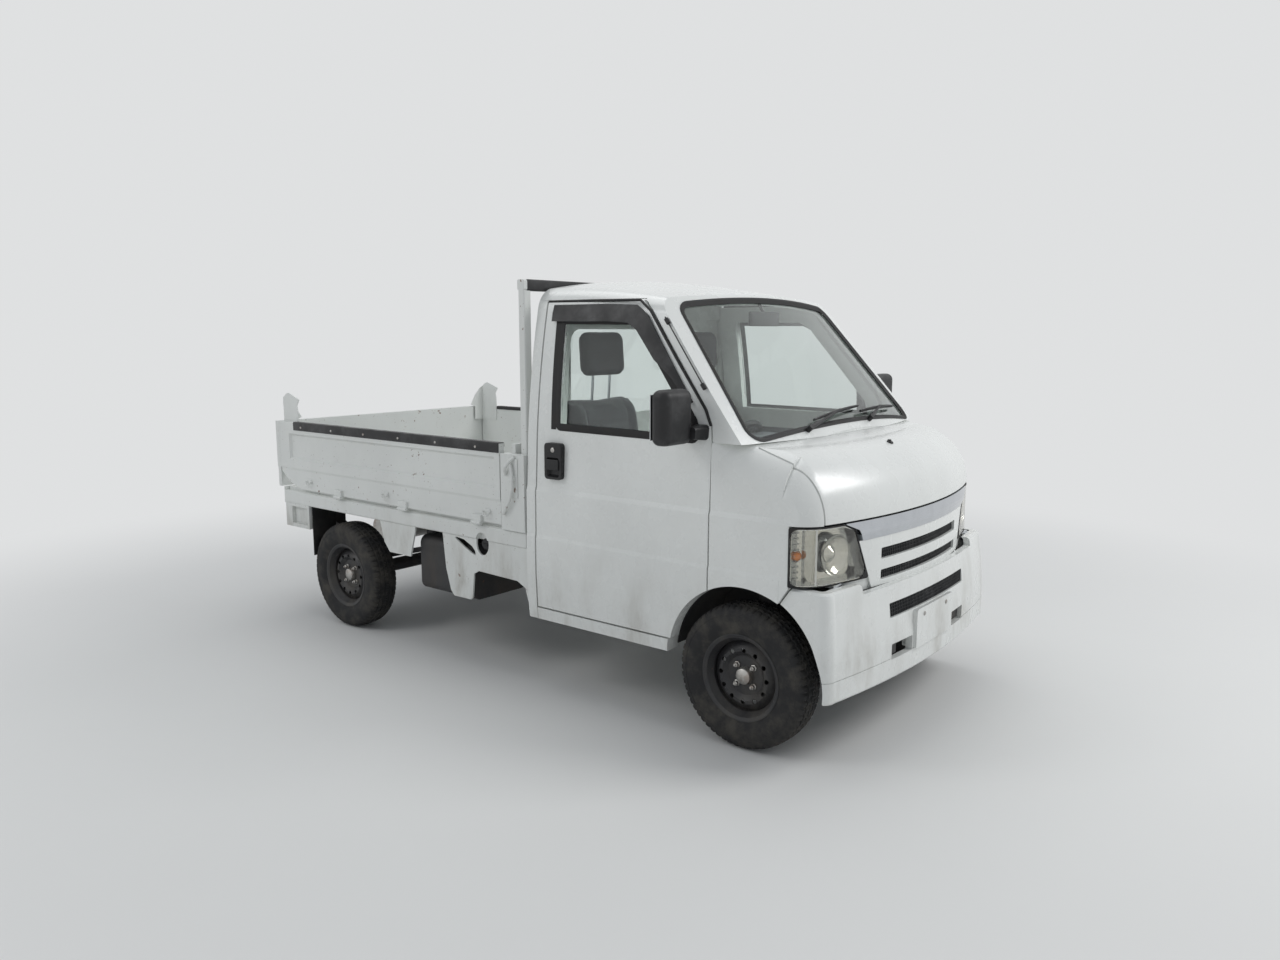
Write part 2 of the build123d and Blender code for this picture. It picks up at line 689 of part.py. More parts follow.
# Inner wheel arches, the front wall of the cabin and its floor
TUB_INNER_X = 400.0
TUB_OUTER_X = 662.0
TUB_GROWTH = 4.0
TUB_WALL = 5.0
with BuildPart() as tub_right:
    add(arch_tool(-TUB_OUTER_X, -TUB_INNER_X, TUB_GROWTH + TUB_WALL))
    add(arch_tool(-HALF, -TUB_INNER_X - TUB_WALL, TUB_GROWTH), mode=Mode.SUBTRACT)
    add(box_between((-HALF, -1800, -100), (0, 0, 330)), mode=Mode.SUBTRACT)
    add(front_bumper.part, mode=Mode.SUBTRACT)

SEAT_RISER_FRONT_Y = -660.0
SEAT_RISER_Z = 600.0
SILL_INNER = 650.0
with BuildPart() as cab_floor:
    add(side_block([(-1180, FLOOR_Z - FLOOR_THICK), (-1180, FLOOR_Z), (SEAT_RISER_FRONT_Y, FLOOR_Z),
                    (SEAT_RISER_FRONT_Y, SEAT_RISER_Z), (-256, SEAT_RISER_Z),
                    (-256, SEAT_RISER_Z - FLOOR_THICK), (SEAT_RISER_FRONT_Y + FLOOR_THICK,
                    SEAT_RISER_Z - FLOOR_THICK), (SEAT_RISER_FRONT_Y + FLOOR_THICK, FLOOR_Z - FLOOR_THICK)],
                   -SILL_INNER, SILL_INNER))
    for side_x in (-HALF, SILL_INNER):
        add(box_between((side_x, ARCH_REAR_Y + 12, SILL_Z), (side_x + HALF - SILL_INNER, -256, 361)))
    for side_x in (-SILL_INNER - 16, SILL_INNER):
        add(box_between((side_x, ARCH_REAR_Y + 12, SILL_Z), (side_x + 16, -256, FLOOR_Z)))
    add(cab_outer, mode=Mode.INTERSECT)
    add(arch_tool(-HALF, -TUB_INNER_X + 1, TUB_GROWTH + TUB_WALL + 1), mode=Mode.SUBTRACT)
    add(arch_tool(TUB_INNER_X - 1, HALF, TUB_GROWTH + TUB_WALL + 1), mode=Mode.SUBTRACT)
save(cab_floor.part, "cab_floor")

with BuildPart() as bulkhead:
    add(tub_right.part)
    add(mirrored(tub_right.part))
    add(box_between((-640, -1276, 622), (640, -1266, 1058)))
    add(side_block([(-1276, 634), (-1276, 520), (-1184, FLOOR_Z - 16), (-1184, FLOOR_Z), (-1266, 524),
                    (-1266, 634)], -TUB_INNER_X - 2, TUB_INNER_X + 2))
save(bulkhead.part, "front_bulkhead")

# Dashboard with the steering column, and the seats
COLUMN_DIRECTION = Vector(0, 0.6, 0.8)
hub = Vector(DRIVER_X, WHEEL_HUB_Y, WHEEL_HUB_Z)
with BuildPart() as dashboard:
    with BuildSketch(Plane.YZ.offset(-650)):
        with BuildLine():
            Polyline((-1262, 1062), (-1262, 840), (-1190, 800), (-1085, 830), (-1052, 905))
            ThreePointArc((-1052, 905), (-1046, 1000), (-1085, 1062))
            ThreePointArc((-1085, 1062), (-1170, 1082), (-1262, 1062))
        make_face()
    extrude(amount=1300)
    column_top = hub - COLUMN_DIRECTION * 48.5
    add(rod(tuple(column_top), tuple(column_top - COLUMN_DIRECTION * 190), 30))
save(dashboard.part, "dashboard")

SEAT_BACK = [(-345, 660), (-300, 690), (-272, 880), (-250, 1080), (-268, 1235), (-320, 1245), (-352, 1180),
             (-385, 900), (-420, 720)]
SEAT_CUSHION = [(-330, 604), (-330, 690), (-425, 742), (-600, 752), (-800, 770), (-850, 740), (-850, 640),
                (-800, 604)]
HEADREST = [(-262, 1325), (-262, 1500), (-290, 1520), (-345, 1505), (-350, 1340), (-320, 1315)]


def seat(middle_x):
    """A plain seat: cushion, back and headrest on its posts."""
    half = 235.0
    with BuildPart() as made:
        add(side_block(SEAT_CUSHION, middle_x - half, middle_x + half))
        add(side_block(SEAT_BACK, middle_x - half, middle_x + half))
        add(side_block(HEADREST, middle_x - 125, middle_x + 125))
        for post in (-60, 60):
            add(rod((middle_x + post, -295, 1225), (middle_x + post, -300, 1340), 6))
    return made.part


with BuildPart() as seats:
    add(seat(DRIVER_X))
    add(seat(-DRIVER_X))
save(seats.part, "seats")

# Steering wheel
steering_plane = Plane(origin=hub, x_dir=(1, 0, 0), z_dir=COLUMN_DIRECTION)
with BuildPart() as steering_wheel:
    with BuildSketch(Plane(origin=hub, x_dir=(1, 0, 0), z_dir=(0, -0.8, 0.6))):
        with Locations((STEERING_RADIUS, 0)):
            RegularPolygon(GRIP_RADIUS, 8)
    revolve(axis=Axis(tuple(hub), tuple(COLUMN_DIRECTION)))
    with Locations(steering_plane):
        with Locations((0, 0, -22)):
            Cylinder(62, 50)
    for angle in (0, 180, 270):
        with Locations(steering_plane):
            with Locations(Rotation(0, 0, angle)):
                with Locations((STEERING_RADIUS / 2 + 10, 0, -10)):
                    Box(STEERING_RADIUS - 20, 34, 14)
save(steering_wheel.part, "steering_wheel")

# Mirrors on their arms, and door handles: a plate with a dished pull
MIRROR_MIDDLE = (-832.0, -1040.0)
MIRROR_SIZE = (168.0, 78.0, 196.0)
MIRROR_FOOT_Z = 1118.0
HANDLE_MIDDLE = (-369.0, 994.0)
HANDLE_SIZE = (92.0, 148.0)
with BuildPart() as door_fittings_right:
    with BuildSketch(Plane.XY.offset(MIRROR_FOOT_Z)):
        with Locations(MIRROR_MIDDLE):
            RectangleRounded(MIRROR_SIZE[0], MIRROR_SIZE[1], 34)
    extrude(amount=MIRROR_SIZE[2])
    fillet(door_fittings_right.edges().group_by(Axis.Z)[-1], 30)
    fillet(door_fittings_right.edges().group_by(Axis.Z)[0], 26)
    with BuildSketch(Plane.YZ.offset(-770)):
        with Locations((-1078, 1156)):
            RectangleRounded(40, 44, 12)
    with BuildSketch(Plane.YZ.offset(-690)):
        with Locations((-1086, 1156)):
            RectangleRounded(72, 60, 16)
    loft()
    with BuildSketch(Plane.YZ.offset(-HALF + 20)):
        with Locations(HANDLE_MIDDLE):
            RectangleRounded(HANDLE_SIZE[0], HANDLE_SIZE[1], 16)
    extrude(amount=-26)
    with BuildSketch(Plane.YZ.offset(-HALF - 8)):
        with Locations((HANDLE_MIDDLE[0], HANDLE_MIDDLE[1] - 24)):
            RectangleRounded(HANDLE_SIZE[0] - 22, HANDLE_SIZE[1] - 66, 10)
    extrude(amount=16, taper=30, mode=Mode.SUBTRACT)
    add(cab_outer, mode=Mode.SUBTRACT)
save(door_fittings_right.part, "door_fittings_right")
save(mirrored(door_fittings_right.part), "door_fittings_left")


def on_screen(x, climb, proud):
    """A point over the windscreen: across, up its slope from the foot, and out from the glass."""
    out = Vector(0, -SCREEN_RISE, SCREEN_RUN).normalized()
    slope = Vector(0, SCREEN_RUN, SCREEN_RISE).normalized()
    bow = bow_depth(SCREEN_FOOT_HALF) - bow_depth(x)
    return tuple(Vector(x, SCREEN_FOOT_Y, SCREEN_FOOT_Z) + slope * climb + out * (proud + bow))


# Wipers, parked across the foot of the glass: arm from its pivot, and blade
WIPERS = [
    # pivot x, blade start x, blade end x
    (-330.0, -380.0, 60.0),
    (150.0, 110.0, 520.0),
]
with BuildPart() as wipers:
    for pivot_x, start_x, end_x in WIPERS:
        add(rod(on_screen(pivot_x, 8, 22), on_screen((start_x + end_x) / 2, 52, 22), 6))
        add(rod(on_screen(start_x, 62, 18), on_screen(end_x, 46, 18), 7))
save(wipers.part, "wipers")

# Wheels
TYRE_SECTION = [
    # across, radius
    (54.0, 153.0),
    (72.5, 208.0),
    (68.0, 246.0),
    (52.0, 265.0),
    (0.0, 271.0),
]
RIM_BARREL = [
    # across, radius
    (62.0, 164.0),
    (57.0, 152.0),
    (30.0, 137.0),
]
RIM_DISC = [
    # across, radius
    (14.0, 133.0),
    (38.0, 104.0),
    (38.0, 92.0),
    (22.0, 74.0),
    (22.0, 30.0),
]
SHEET = 4.0


def wheel(corner, side, axle_y):
    """A tyre and its steel rim; side is -1 on the right and +1 on the left."""
    middle_x = side * HALF_TRACK
    axle = Axis((0, axle_y, WHEEL_Z), (1, 0, 0))
    with BuildPart() as tyre:
        with BuildSketch(Plane.XZ.offset(-axle_y)):
            with BuildLine():
                outer = [(middle_x + across, WHEEL_Z + radius) for across, radius in TYRE_SECTION]
                inner = [(middle_x - across, WHEEL_Z + radius) for across, radius in TYRE_SECTION[-2::-1]]
                Polyline(*outer, *inner, close=True)
            make_face()
        revolve(axis=axle)
    save(tyre.part, f"tyre_{corner}")
    with BuildPart() as rim:
        with BuildSketch(Plane.XZ.offset(-axle_y)):
            with BuildLine():
                outer = [(middle_x + across, WHEEL_Z + radius) for across, radius in RIM_BARREL]
                other = [(middle_x - across, WHEEL_Z + radius) for across, radius in RIM_BARREL[::-1]]
                low_other = [(middle_x - across, WHEEL_Z + radius - SHEET) for across, radius in RIM_BARREL]
                low = [(middle_x + across, WHEEL_Z + radius - SHEET) for across, radius in RIM_BARREL[::-1]]
                Polyline(*outer, *other, *low_other, *low, close=True)
            make_face()
            with BuildLine():
                face = [(middle_x + side * across, WHEEL_Z + radius) for across, radius in RIM_DISC]
                back = [(middle_x + side * (across - SHEET), WHEEL_Z + radius)
                        for across, radius in RIM_DISC[::-1]]
                Polyline(*face, *back, close=True)
            make_face()
        revolve(axis=axle)
        with BuildSketch(Plane(origin=(middle_x, axle_y, WHEEL_Z), x_dir=(0, 1, 0), z_dir=(side, 0, 0))):
            with PolarLocations(98, 12):
                Circle(9)
        extrude(amount=80, mode=Mode.SUBTRACT)
    save(rim.part, f"rim_{corner}")


for corner, side, axle_y in (("front_right", -1, FRONT_AXLE_Y), ("front_left", 1, FRONT_AXLE_Y),
                             ("rear_right", -1, REAR_AXLE_Y), ("rear_left", 1, REAR_AXLE_Y)):
    wheel(corner, side, axle_y)

# Front knuckles with hub, brake disc, strut and steering arm
HUB_FACE_X = HALF_TRACK + 22 - SHEET - 0.5
BRAKE_RADIUS = 88.0
with BuildPart() as knuckle_left:
    add(rod((HUB_FACE_X, FRONT_AXLE_Y, WHEEL_Z), (600, FRONT_AXLE_Y, WHEEL_Z), 52))
    add(rod((596, FRONT_AXLE_Y, WHEEL_Z), (608, FRONT_AXLE_Y, WHEEL_Z), BRAKE_RADIUS))
    add(box_between((556, FRONT_AXLE_Y - 34, 194), (600, FRONT_AXLE_Y + 34, 330)))
    add(side_block([(-1290, 300), (-1228, 300), (-1236, 400), (-1282, 400)], 522, 562))
    add(rod((540, FRONT_AXLE_Y, 330), (524, FRONT_AXLE_Y, 612), 22))
    add(rod((530, FRONT_AXLE_Y, 470), (526, FRONT_AXLE_Y, 600), 38))
    add(box_between((560, FRONT_AXLE_Y + 20, 236), (588, FRONT_AXLE_Y + 130, 262)))
save(knuckle_left.part, "knuckle_left")
save(mirrored(knuckle_left.part), "knuckle_right")

# Front suspension: cross member hung from the rails, and lower arms
RAIL_UNDER_Z = 342.0
with BuildPart() as front_suspension:
    add(box_between((-270, FRONT_AXLE_Y - 50, 210), (270, FRONT_AXLE_Y + 50, 262)))
    for sign in (-1, 1):
        with BuildSketch(Plane.XY.offset(150)):
            with BuildLine():
                Polyline((sign * 240, FRONT_AXLE_Y - 40), (sign * 588, FRONT_AXLE_Y - 22),
                         (sign * 588, FRONT_AXLE_Y + 22), (sign * 300, FRONT_AXLE_Y + 60),
                         (sign * 240, FRONT_AXLE_Y + 40), close=True)
            make_face()
        extrude(amount=22)
        add(box_between((min(sign * 240, sign * 200), FRONT_AXLE_Y - 40, 150),
                        (max(sign * 240, sign * 200), FRONT_AXLE_Y + 40, 240)))
        add(box_between((min(sign * 262, sign * 330), FRONT_AXLE_Y - 44, 210),
                        (max(sign * 262, sign * 330), FRONT_AXLE_Y + 44, 348)))
        add(box_between((min(sign * 262, sign * 340), FRONT_AXLE_Y - 60, RAIL_UNDER_Z),
                        (max(sign * 262, sign * 340), FRONT_AXLE_Y + 60, 420)), mode=Mode.SUBTRACT)

# Ladder frame: two rails that rise behind the cab, and the members across them
FRAME_PROFILE = [
    # y, top z, depth
    (-1660.0, 412.0, 70.0),
    (-330.0, 412.0, 90.0),
    (-120.0, 596.0, 90.0),
    (1620.0, 596.0, 80.0),
]
CROSS_MEMBERS = [
    # y, bottom z
    (-1580.0, 345.0),
    (-800.0, 350.0),
    (-360.0, 350.0),
    (-60.0, 530.0),
    (340.0, 530.0),
    (1600.0, 530.0),
]
RAIL_INNER = FRAME_HALF - FRAME_WIDE / 2
with BuildPart() as frame_rails:
    for sign in (-1, 1):
        low_x = sign * FRAME_HALF - FRAME_WIDE / 2
        top = [(y, z) for y, z, depth in FRAME_PROFILE]
        bottom = [(y, z - depth) for y, z, depth in FRAME_PROFILE[::-1]]
        add(side_block(top + bottom, low_x, low_x + FRAME_WIDE))
    add(front_bumper.part, mode=Mode.SUBTRACT)
    add(front_suspension.part, mode=Mode.SUBTRACT)
save(frame_rails.part, "frame_rails")

with BuildPart() as cross_members:
    for cross_y, cross_z in CROSS_MEMBERS:
        add(box_between((-RAIL_INNER, cross_y - 20, cross_z), (RAIL_INNER, cross_y + 20, cross_z + 50)))
save(cross_members.part, "cross_members")

# Rear corners of the bed: the boxes that carry the tail lamps, with a pocket in each side
LAMP_BOX_X = 556.0
LAMP_BOX_REAR = (1590.0, 1652.0)
LAMP_BOX_Z = (479.0, 606.0)
REAR_BOX = (1436.0, 1652.0)
REAR_POCKET = (1450.0, 1594.0)
POCKET_Z = (498.0, 590.0)


def front_to_back_box(sign, inner_x, outer_x, reach_y, reach_z):
    """A plain box on one side of the truck; sign is -1 on the right and +1 on the left."""
    low_x, high_x = sorted((sign * inner_x, sign * outer_x))
    return box_between((low_x, reach_y[0], reach_z[0]), (high_x, reach_y[1], reach_z[1]))


# Opening for the fuel filler, low in the right side
FILLER_PLACE = (90.0, 586.0)
with BuildPart() as filler_opening:
    with BuildSketch(Plane.YZ.offset(-HALF - 5)):
        with Locations(FILLER_PLACE):
            Ellipse(40, 52)
    extrude(amount=41)

# Bed deck: pressed floor, side rails and cross bearers
with BuildPart() as bed_deck:
    add(box_between((-DECK_HALF, HEADBOARD_Y, DECK_Z), (DECK_HALF, GATE_REAR_Y, DECK_Z + DECK_THICK)))
    for rib_x in range(-650, 651, 100):
        add(box_between((rib_x - 20, HEADBOARD_Y + 30, DECK_Z + DECK_THICK),
                        (rib_x + 20, GATE_REAR_Y - 30, DECK_Z + DECK_THICK + 5)))
    with BuildSketch(Plane.XZ.offset(190)):
        for sign in (-1, 1):
            with Locations((sign * (RAIL_HALF - RAIL_WIDE / 2), (DECK_Z + RAIL_BOTTOM_Z) / 2)):
                RectangleRounded(RAIL_WIDE, DECK_Z - RAIL_BOTTOM_Z, 9)
    extrude(amount=-1842)
    for bearer_y in (-75, 330, 740, 1150, 1560):
        add(box_between((-RAIL_HALF + 20, bearer_y - 25, 598), (RAIL_HALF - 20, bearer_y + 25, DECK_Z)))
    add(box_between((-RAIL_HALF, 1652, RAIL_BOTTOM_Z), (RAIL_HALF, 1660, DECK_Z + DECK_THICK)))
    for sign in (-1, 1):
        add(front_to_back_box(sign, LAMP_BOX_X, RAIL_HALF, LAMP_BOX_REAR, LAMP_BOX_Z))
        add(front_to_back_box(sign, RAIL_HALF - 26, RAIL_HALF, REAR_BOX, LAMP_BOX_Z))
        add(front_to_back_box(sign, RAIL_HALF - 20, RAIL_HALF + 4, REAR_POCKET, POCKET_Z), mode=Mode.SUBTRACT)
    add(filler_opening.part, mode=Mode.SUBTRACT)
save(bed_deck.part, "bed_deck")

# Headboard, fixed front corners, and the guard hoop behind the cab
with BuildPart() as headboard:
    add(box_between((-HALF + 30, HEADBOARD_Y - 22, DECK_Z + 20), (HALF - 30, HEADBOARD_Y, GATE_TOP_Z)))
    for sign in (-1, 1):
        outer = sign * HALF
        inner = sign * (HALF - GATE_THICK - 5)
        add(box_between((min(outer, inner), -196, DECK_Z + 2), (max(outer, inner), BED_FRONT_Y, GATE_TOP_Z - 40)))

with BuildPart() as guard_frame:
    add(headboard.part)
    for sign in (-1, 1):
        with BuildSketch(Plane.XY.offset(GATE_TOP_Z - 60)):
            with Locations((sign * 685, GUARD_Y)):
                RectangleRounded(40, 36, 6)
        extrude(amount=GUARD_TOP_Z - 44 - GATE_TOP_Z + 60)
    with BuildSketch(Plane.YZ.offset(-706)):
        with Locations((GUARD_Y, GUARD_TOP_Z - 22)):
            RectangleRounded(40, 44, 8)
    extrude(amount=1412)
save(guard_frame.part, "guard_frame")

# Gates: a pressed panel with a recess that slopes in, over a bead and a lower panel set in
GATE_STEPS = [
    # set in, z
    (5.0, GATE_BOTTOM_Z),
    (5.0, 790.0),
    (0.0, 802.0),
    (0.0, GATE_TOP_Z),
]
RECESS_Z = (848.0, 984.0)
RECESS_DEPTH = 13.0
RECESS_SLOPE = 38.0
SIDE_RECESS_Y = (-14.0, 1570.0)
with BuildPart() as gate_right:
    with BuildSketch(Plane.XZ.offset(-SIDE_GATE_FRONT_Y)):
        with BuildLine():
            face = [(-HALF + inset, z) for inset, z in GATE_STEPS]
            Polyline(*face, (-HALF + GATE_THICK, GATE_TOP_Z), (-HALF + GATE_THICK, GATE_BOTTOM_Z), close=True)
        make_face()
    extrude(amount=-(GATE_REAR_Y - SIDE_GATE_FRONT_Y))
    add(side_block([(SIDE_GATE_FRONT_Y, GATE_BOTTOM_Z), (SIDE_GATE_FRONT_Y, GATE_TOP_Z), (GATE_REAR_Y, GATE_TOP_Z),
                    (GATE_REAR_Y, 778), (1589, 725), (1484, GATE_BOTTOM_Z)], -800, -600), mode=Mode.INTERSECT)
    with BuildSketch(Plane.YZ.offset(-HALF)):
        with Locations(((SIDE_RECESS_Y[0] + SIDE_RECESS_Y[1]) / 2, (RECESS_Z[0] + RECESS_Z[1]) / 2)):
            Rectangle(SIDE_RECESS_Y[1] - SIDE_RECESS_Y[0], RECESS_Z[1] - RECESS_Z[0])
    extrude(amount=RECESS_DEPTH, taper=RECESS_SLOPE, mode=Mode.SUBTRACT)
    with BuildSketch(Plane.YZ.offset(-HALF + GATE_THICK)):
        with BuildLine():
            Polyline((1655, 960), (1655, 1120))
            ThreePointArc((1655, 1120), (1640, 1178), (1600, 1194))
            Polyline((1600, 1194), (1507, 1162), (1529, 1132), (1522, 1088), (1524, 960), (1655, 960))
        make_face()
    extrude(amount=5)
    add(front_block([(-HALF + GATE_THICK, 960), (-640, 960), (-640, 1044), (-605, 1056), (-644, 1120),
                     (-684, 1160), (-HALF + GATE_THICK, 1172)], 1650, 1655))
save(gate_right.part, "gate_right")
save(mirrored(gate_right.part), "gate_left")

TAIL_RECESS_HALF = 668.0
with BuildPart() as tailgate:
    with BuildSketch(Plane.YZ.offset(-HALF + 3)):
        with BuildLine():
            face = [(TAIL_Y - inset, z) for inset, z in GATE_STEPS]
            Polyline(*face, (GATE_REAR_Y + 6, GATE_TOP_Z), (GATE_REAR_Y + 6, GATE_BOTTOM_Z), close=True)
        make_face()
    extrude(amount=2 * (HALF - 3))
    with BuildSketch(Plane(origin=(0, TAIL_Y, 0), x_dir=(1, 0, 0), z_dir=(0, -1, 0))):
        with Locations((0, (RECESS_Z[0] + RECESS_Z[1]) / 2)):
            Rectangle(2 * TAIL_RECESS_HALF, RECESS_Z[1] - RECESS_Z[0])
    extrude(amount=RECESS_DEPTH, taper=RECESS_SLOPE, mode=Mode.SUBTRACT)
save(tailgate.part, "tailgate")

# Lower side panels: filler panel, stay plates, and guards round the rear wheels
SIDE_PLATES = [
    # outline in y, z
    [(-202, 602), (-202, 378), (-192, 374), (-175, 429), (-126, 452), (120, 458), (152, 440), (164, 330),
     (176, 317), (292, 317), (312, 340), (342, 440), (360, 602)],
    [(830, 602), (800, 500), (760, 454), (600, 454), (560, 585), (560, 602)],
]
SLOT_OUTLINE = [(136, 527), (160, 532), (212, 556), (272, 588), (270, 596), (214, 590), (160, 566), (140, 546)]
PLATE_OUTER = 720.0
PLATE_THICK = 8.0
with BuildPart() as side_panels:
    for low_x, high_x in ((-PLATE_OUTER, -PLATE_OUTER + PLATE_THICK), (PLATE_OUTER - PLATE_THICK, PLATE_OUTER)):
        for outline in SIDE_PLATES:
            add(side_block(outline, low_x, high_x))
    add(side_block(SLOT_OUTLINE, -HALF, HALF), mode=Mode.SUBTRACT)
    add(filler_opening.part, mode=Mode.SUBTRACT)
save(side_panels.part, "side_panels")

# Tail lamps, facing the rear only
LAMP_PLACE = (634.0, 541.0)
with BuildPart() as tail_lamps:
    for sign in (-1, 1):
        with BuildSketch(Plane.XZ.offset(-LAMP_BOX_REAR[1])):
            with Locations((sign * LAMP_PLACE[0], LAMP_PLACE[1])):
                RectangleRounded(136, 98, 12)
        extrude(amount=-22)
    fillet(tail_lamps.edges().group_by(Axis.Y)[-1], 6)
save(tail_lamps.part, "tail_lamps")

# Engine block and radiator, tank, muffler, and the suspension front and rear
with BuildPart() as engine:
    add(box_between((-210, 420, 235), (250, 960, 560)))
    add(box_between((-RAIL_INNER, 560, 530), (RAIL_INNER, 620, 556)))
    add(box_between((-330, -1560, 412), (330, -1515, 780)))
save(engine.part, "engine_and_radiator")

with BuildPart() as fuel_tank:
    add(box_between((-690, 190, 300), (-350, 560, 560)))
    fillet(fuel_tank.edges().filter_by(Axis.Y), 40)
    add(box_between((-352, 330, 520), (-330, 380, 580)))
    add(box_between((-400, 330, 540), (-330, 380, 580)))
save(fuel_tank.part, "fuel_tank")

with BuildPart() as exhaust:
    add(rod((-250, 1470, 400), (330, 1470, 400), 78))
    add(rod((-180, 1470, 400), (-180, 1640, 360), 20))
    add(rod((300, 1470, 400), (300, 1470, 515), 8))
save(exhaust.part, "exhaust")

with BuildPart() as suspension:
    add(front_suspension.part)
    add(rod((-600, REAR_AXLE_Y, WHEEL_Z), (600, REAR_AXLE_Y, WHEEL_Z), 34))
    for sign in (-1, 1):
        add(rod((sign * 585, REAR_AXLE_Y, WHEEL_Z), (sign * HUB_FACE_X, REAR_AXLE_Y, WHEEL_Z), 100))
        spring_x = sign * 470
        add(side_block([(720, 430), (REAR_AXLE_Y, 318), (1560, 460), (1560, 485), (REAR_AXLE_Y, 345),
                        (720, 455)], spring_x - 30, spring_x + 30))
        add(box_between((spring_x - 30, REAR_AXLE_Y - 40, WHEEL_Z), (spring_x + 30, REAR_AXLE_Y + 40, 330)))
        for eye_y, eye_z in ((720, 442), (1560, 472)):
            add(box_between((spring_x - 34, eye_y - 25, eye_z - 25), (spring_x + 34, eye_y + 25, 597)))
save(suspension.part, "suspension")
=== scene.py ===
"""Looks of the kei truck: materials, soft parts, tyre tread, trim, light and camera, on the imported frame."""
import math

import bmesh
import bpy
from mathutils import Matrix, Vector
from mathutils.bvhtree import BVHTree


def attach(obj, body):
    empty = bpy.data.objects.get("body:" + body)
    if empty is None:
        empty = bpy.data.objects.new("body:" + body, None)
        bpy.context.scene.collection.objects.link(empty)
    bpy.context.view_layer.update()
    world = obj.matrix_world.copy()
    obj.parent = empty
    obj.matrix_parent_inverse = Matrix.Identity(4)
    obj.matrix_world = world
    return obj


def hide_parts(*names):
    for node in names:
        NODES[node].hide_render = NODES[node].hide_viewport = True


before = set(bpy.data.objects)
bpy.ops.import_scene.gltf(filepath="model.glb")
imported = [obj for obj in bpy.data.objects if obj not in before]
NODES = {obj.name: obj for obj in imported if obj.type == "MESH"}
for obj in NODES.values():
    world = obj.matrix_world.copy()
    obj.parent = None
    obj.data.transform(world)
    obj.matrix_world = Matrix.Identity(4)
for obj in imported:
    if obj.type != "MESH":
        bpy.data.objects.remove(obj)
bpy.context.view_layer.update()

COLLECTION = bpy.context.scene.collection


# Shader building blocks
def shade(colour, share, lift=0.0):
    """A colour at a share of its strength, lifted towards white."""
    return tuple(min(1.0, c * share + lift) for c in colour)


class Nodes:
    """The node tree of a material or world, with short calls for its nodes."""

    def __init__(self, owner):
        owner.use_nodes = True
        self.tree = owner.node_tree
        self.tree.nodes.clear()

    def feed(self, target, value):
        """Sets a socket to a colour or a number, or links another socket to it."""
        if isinstance(value, tuple):
            target.default_value = (*value, 1.0)
        elif isinstance(value, (int, float)):
            target.default_value = value
        else:
            self.tree.links.new(value, target)

    def node(self, kind, **values):
        """A node with values on its named sockets, where an underscore stands for a space."""
        node = self.tree.nodes.new("ShaderNode" + kind)
        for key, value in values.items():
            self.feed(node.inputs[key.replace("_", " ")], value)
        return node

    def math(self, operation, a, b):
        node = self.node("Math")
        node.operation = operation
        self.feed(node.inputs[0], a)
        self.feed(node.inputs[1], b)
        return node.outputs[0]

    def times(self, a, b):
        return self.math("MULTIPLY", a, b)

    def either(self, factor, first, second):
        """One shader where the factor is 0 and the other where it is 1."""
        node = self.node("MixShader")
        for socket, value in zip(node.inputs, (factor, first, second)):
            self.feed(socket, value)
        return node.outputs[0]


class Shader(Nodes):
    """One material on a principled shader, whose own values are given with its name."""

    def __init__(self, name, **values):
        self.material = bpy.data.materials.new(name)
        super().__init__(self.material)
        self.output = self.node("OutputMaterial")
        self.surface = self.node("BsdfPrincipled", **values)
        self.show(self.surface.outputs[0])
        self.place = self.node("TexCoord").outputs["Object"]

    def show(self, shader):
        self.feed(self.output.inputs[0], shader)

    def stretched(self, scale):
        node = self.node("Mapping", Vector=self.place)
        node.inputs["Scale"].default_value = scale
        return node.outputs[0]

    def noise(self, scale, detail=4.0, roughness=0.55, place=None):
        node = self.node("TexNoise", Vector=place or self.place, Scale=scale, Detail=detail,
                         Roughness=roughness)
        return node.outputs["Fac"]

    def cells(self, scale):
        return self.node("TexVoronoi", Vector=self.place, Scale=scale).outputs["Distance"]

    def wave(self, scale, direction):
        node = self.node("TexWave", Vector=self.place, Scale=scale)
        node.bands_direction = direction
        return node.outputs["Fac"]

    def height(self):
        """Height over the ground at rest, for grime that rises from the road."""
        return self.node("SeparateXYZ", Vector=self.place).outputs[2]

    def span(self, value, low, high, out_low=0.0, out_high=1.0):
        """A smooth step from one value to another, between a low and a high input."""
        node = self.node("MapRange", Value=value, From_Min=low, From_Max=high, To_Min=out_low,
                         To_Max=out_high)
        node.interpolation_type = "SMOOTHSTEP"
        return node.outputs[0]

    def mix(self, factor, a, b):
        node = self.node("Mix")
        node.data_type = "RGBA"
        for index, value in ((0, factor), (6, a), (7, b)):
            self.feed(node.inputs[index], value)
        return node.outputs[2]

    def colour(self, socket):
        self.feed(self.surface.inputs["Base Color"], socket)

    def rough(self, socket):
        self.feed(self.surface.inputs["Roughness"], socket)

    def bump(self, height, strength, distance):
        node = self.node("Bump", Height=height, Strength=strength, Distance=distance)
        self.feed(self.surface.inputs["Normal"], node.outputs[0])


# Paint: the heights over the ground where road grime is thinnest and thickest, and the colours of wear
GRIME_TOP = 0.75
GRIME_FULL = 0.25
CHIP_COLOUR = (0.16, 0.07, 0.03)
RUST = (0.17, 0.075, 0.03)
ROAD_DUST = (0.17, 0.155, 0.13)


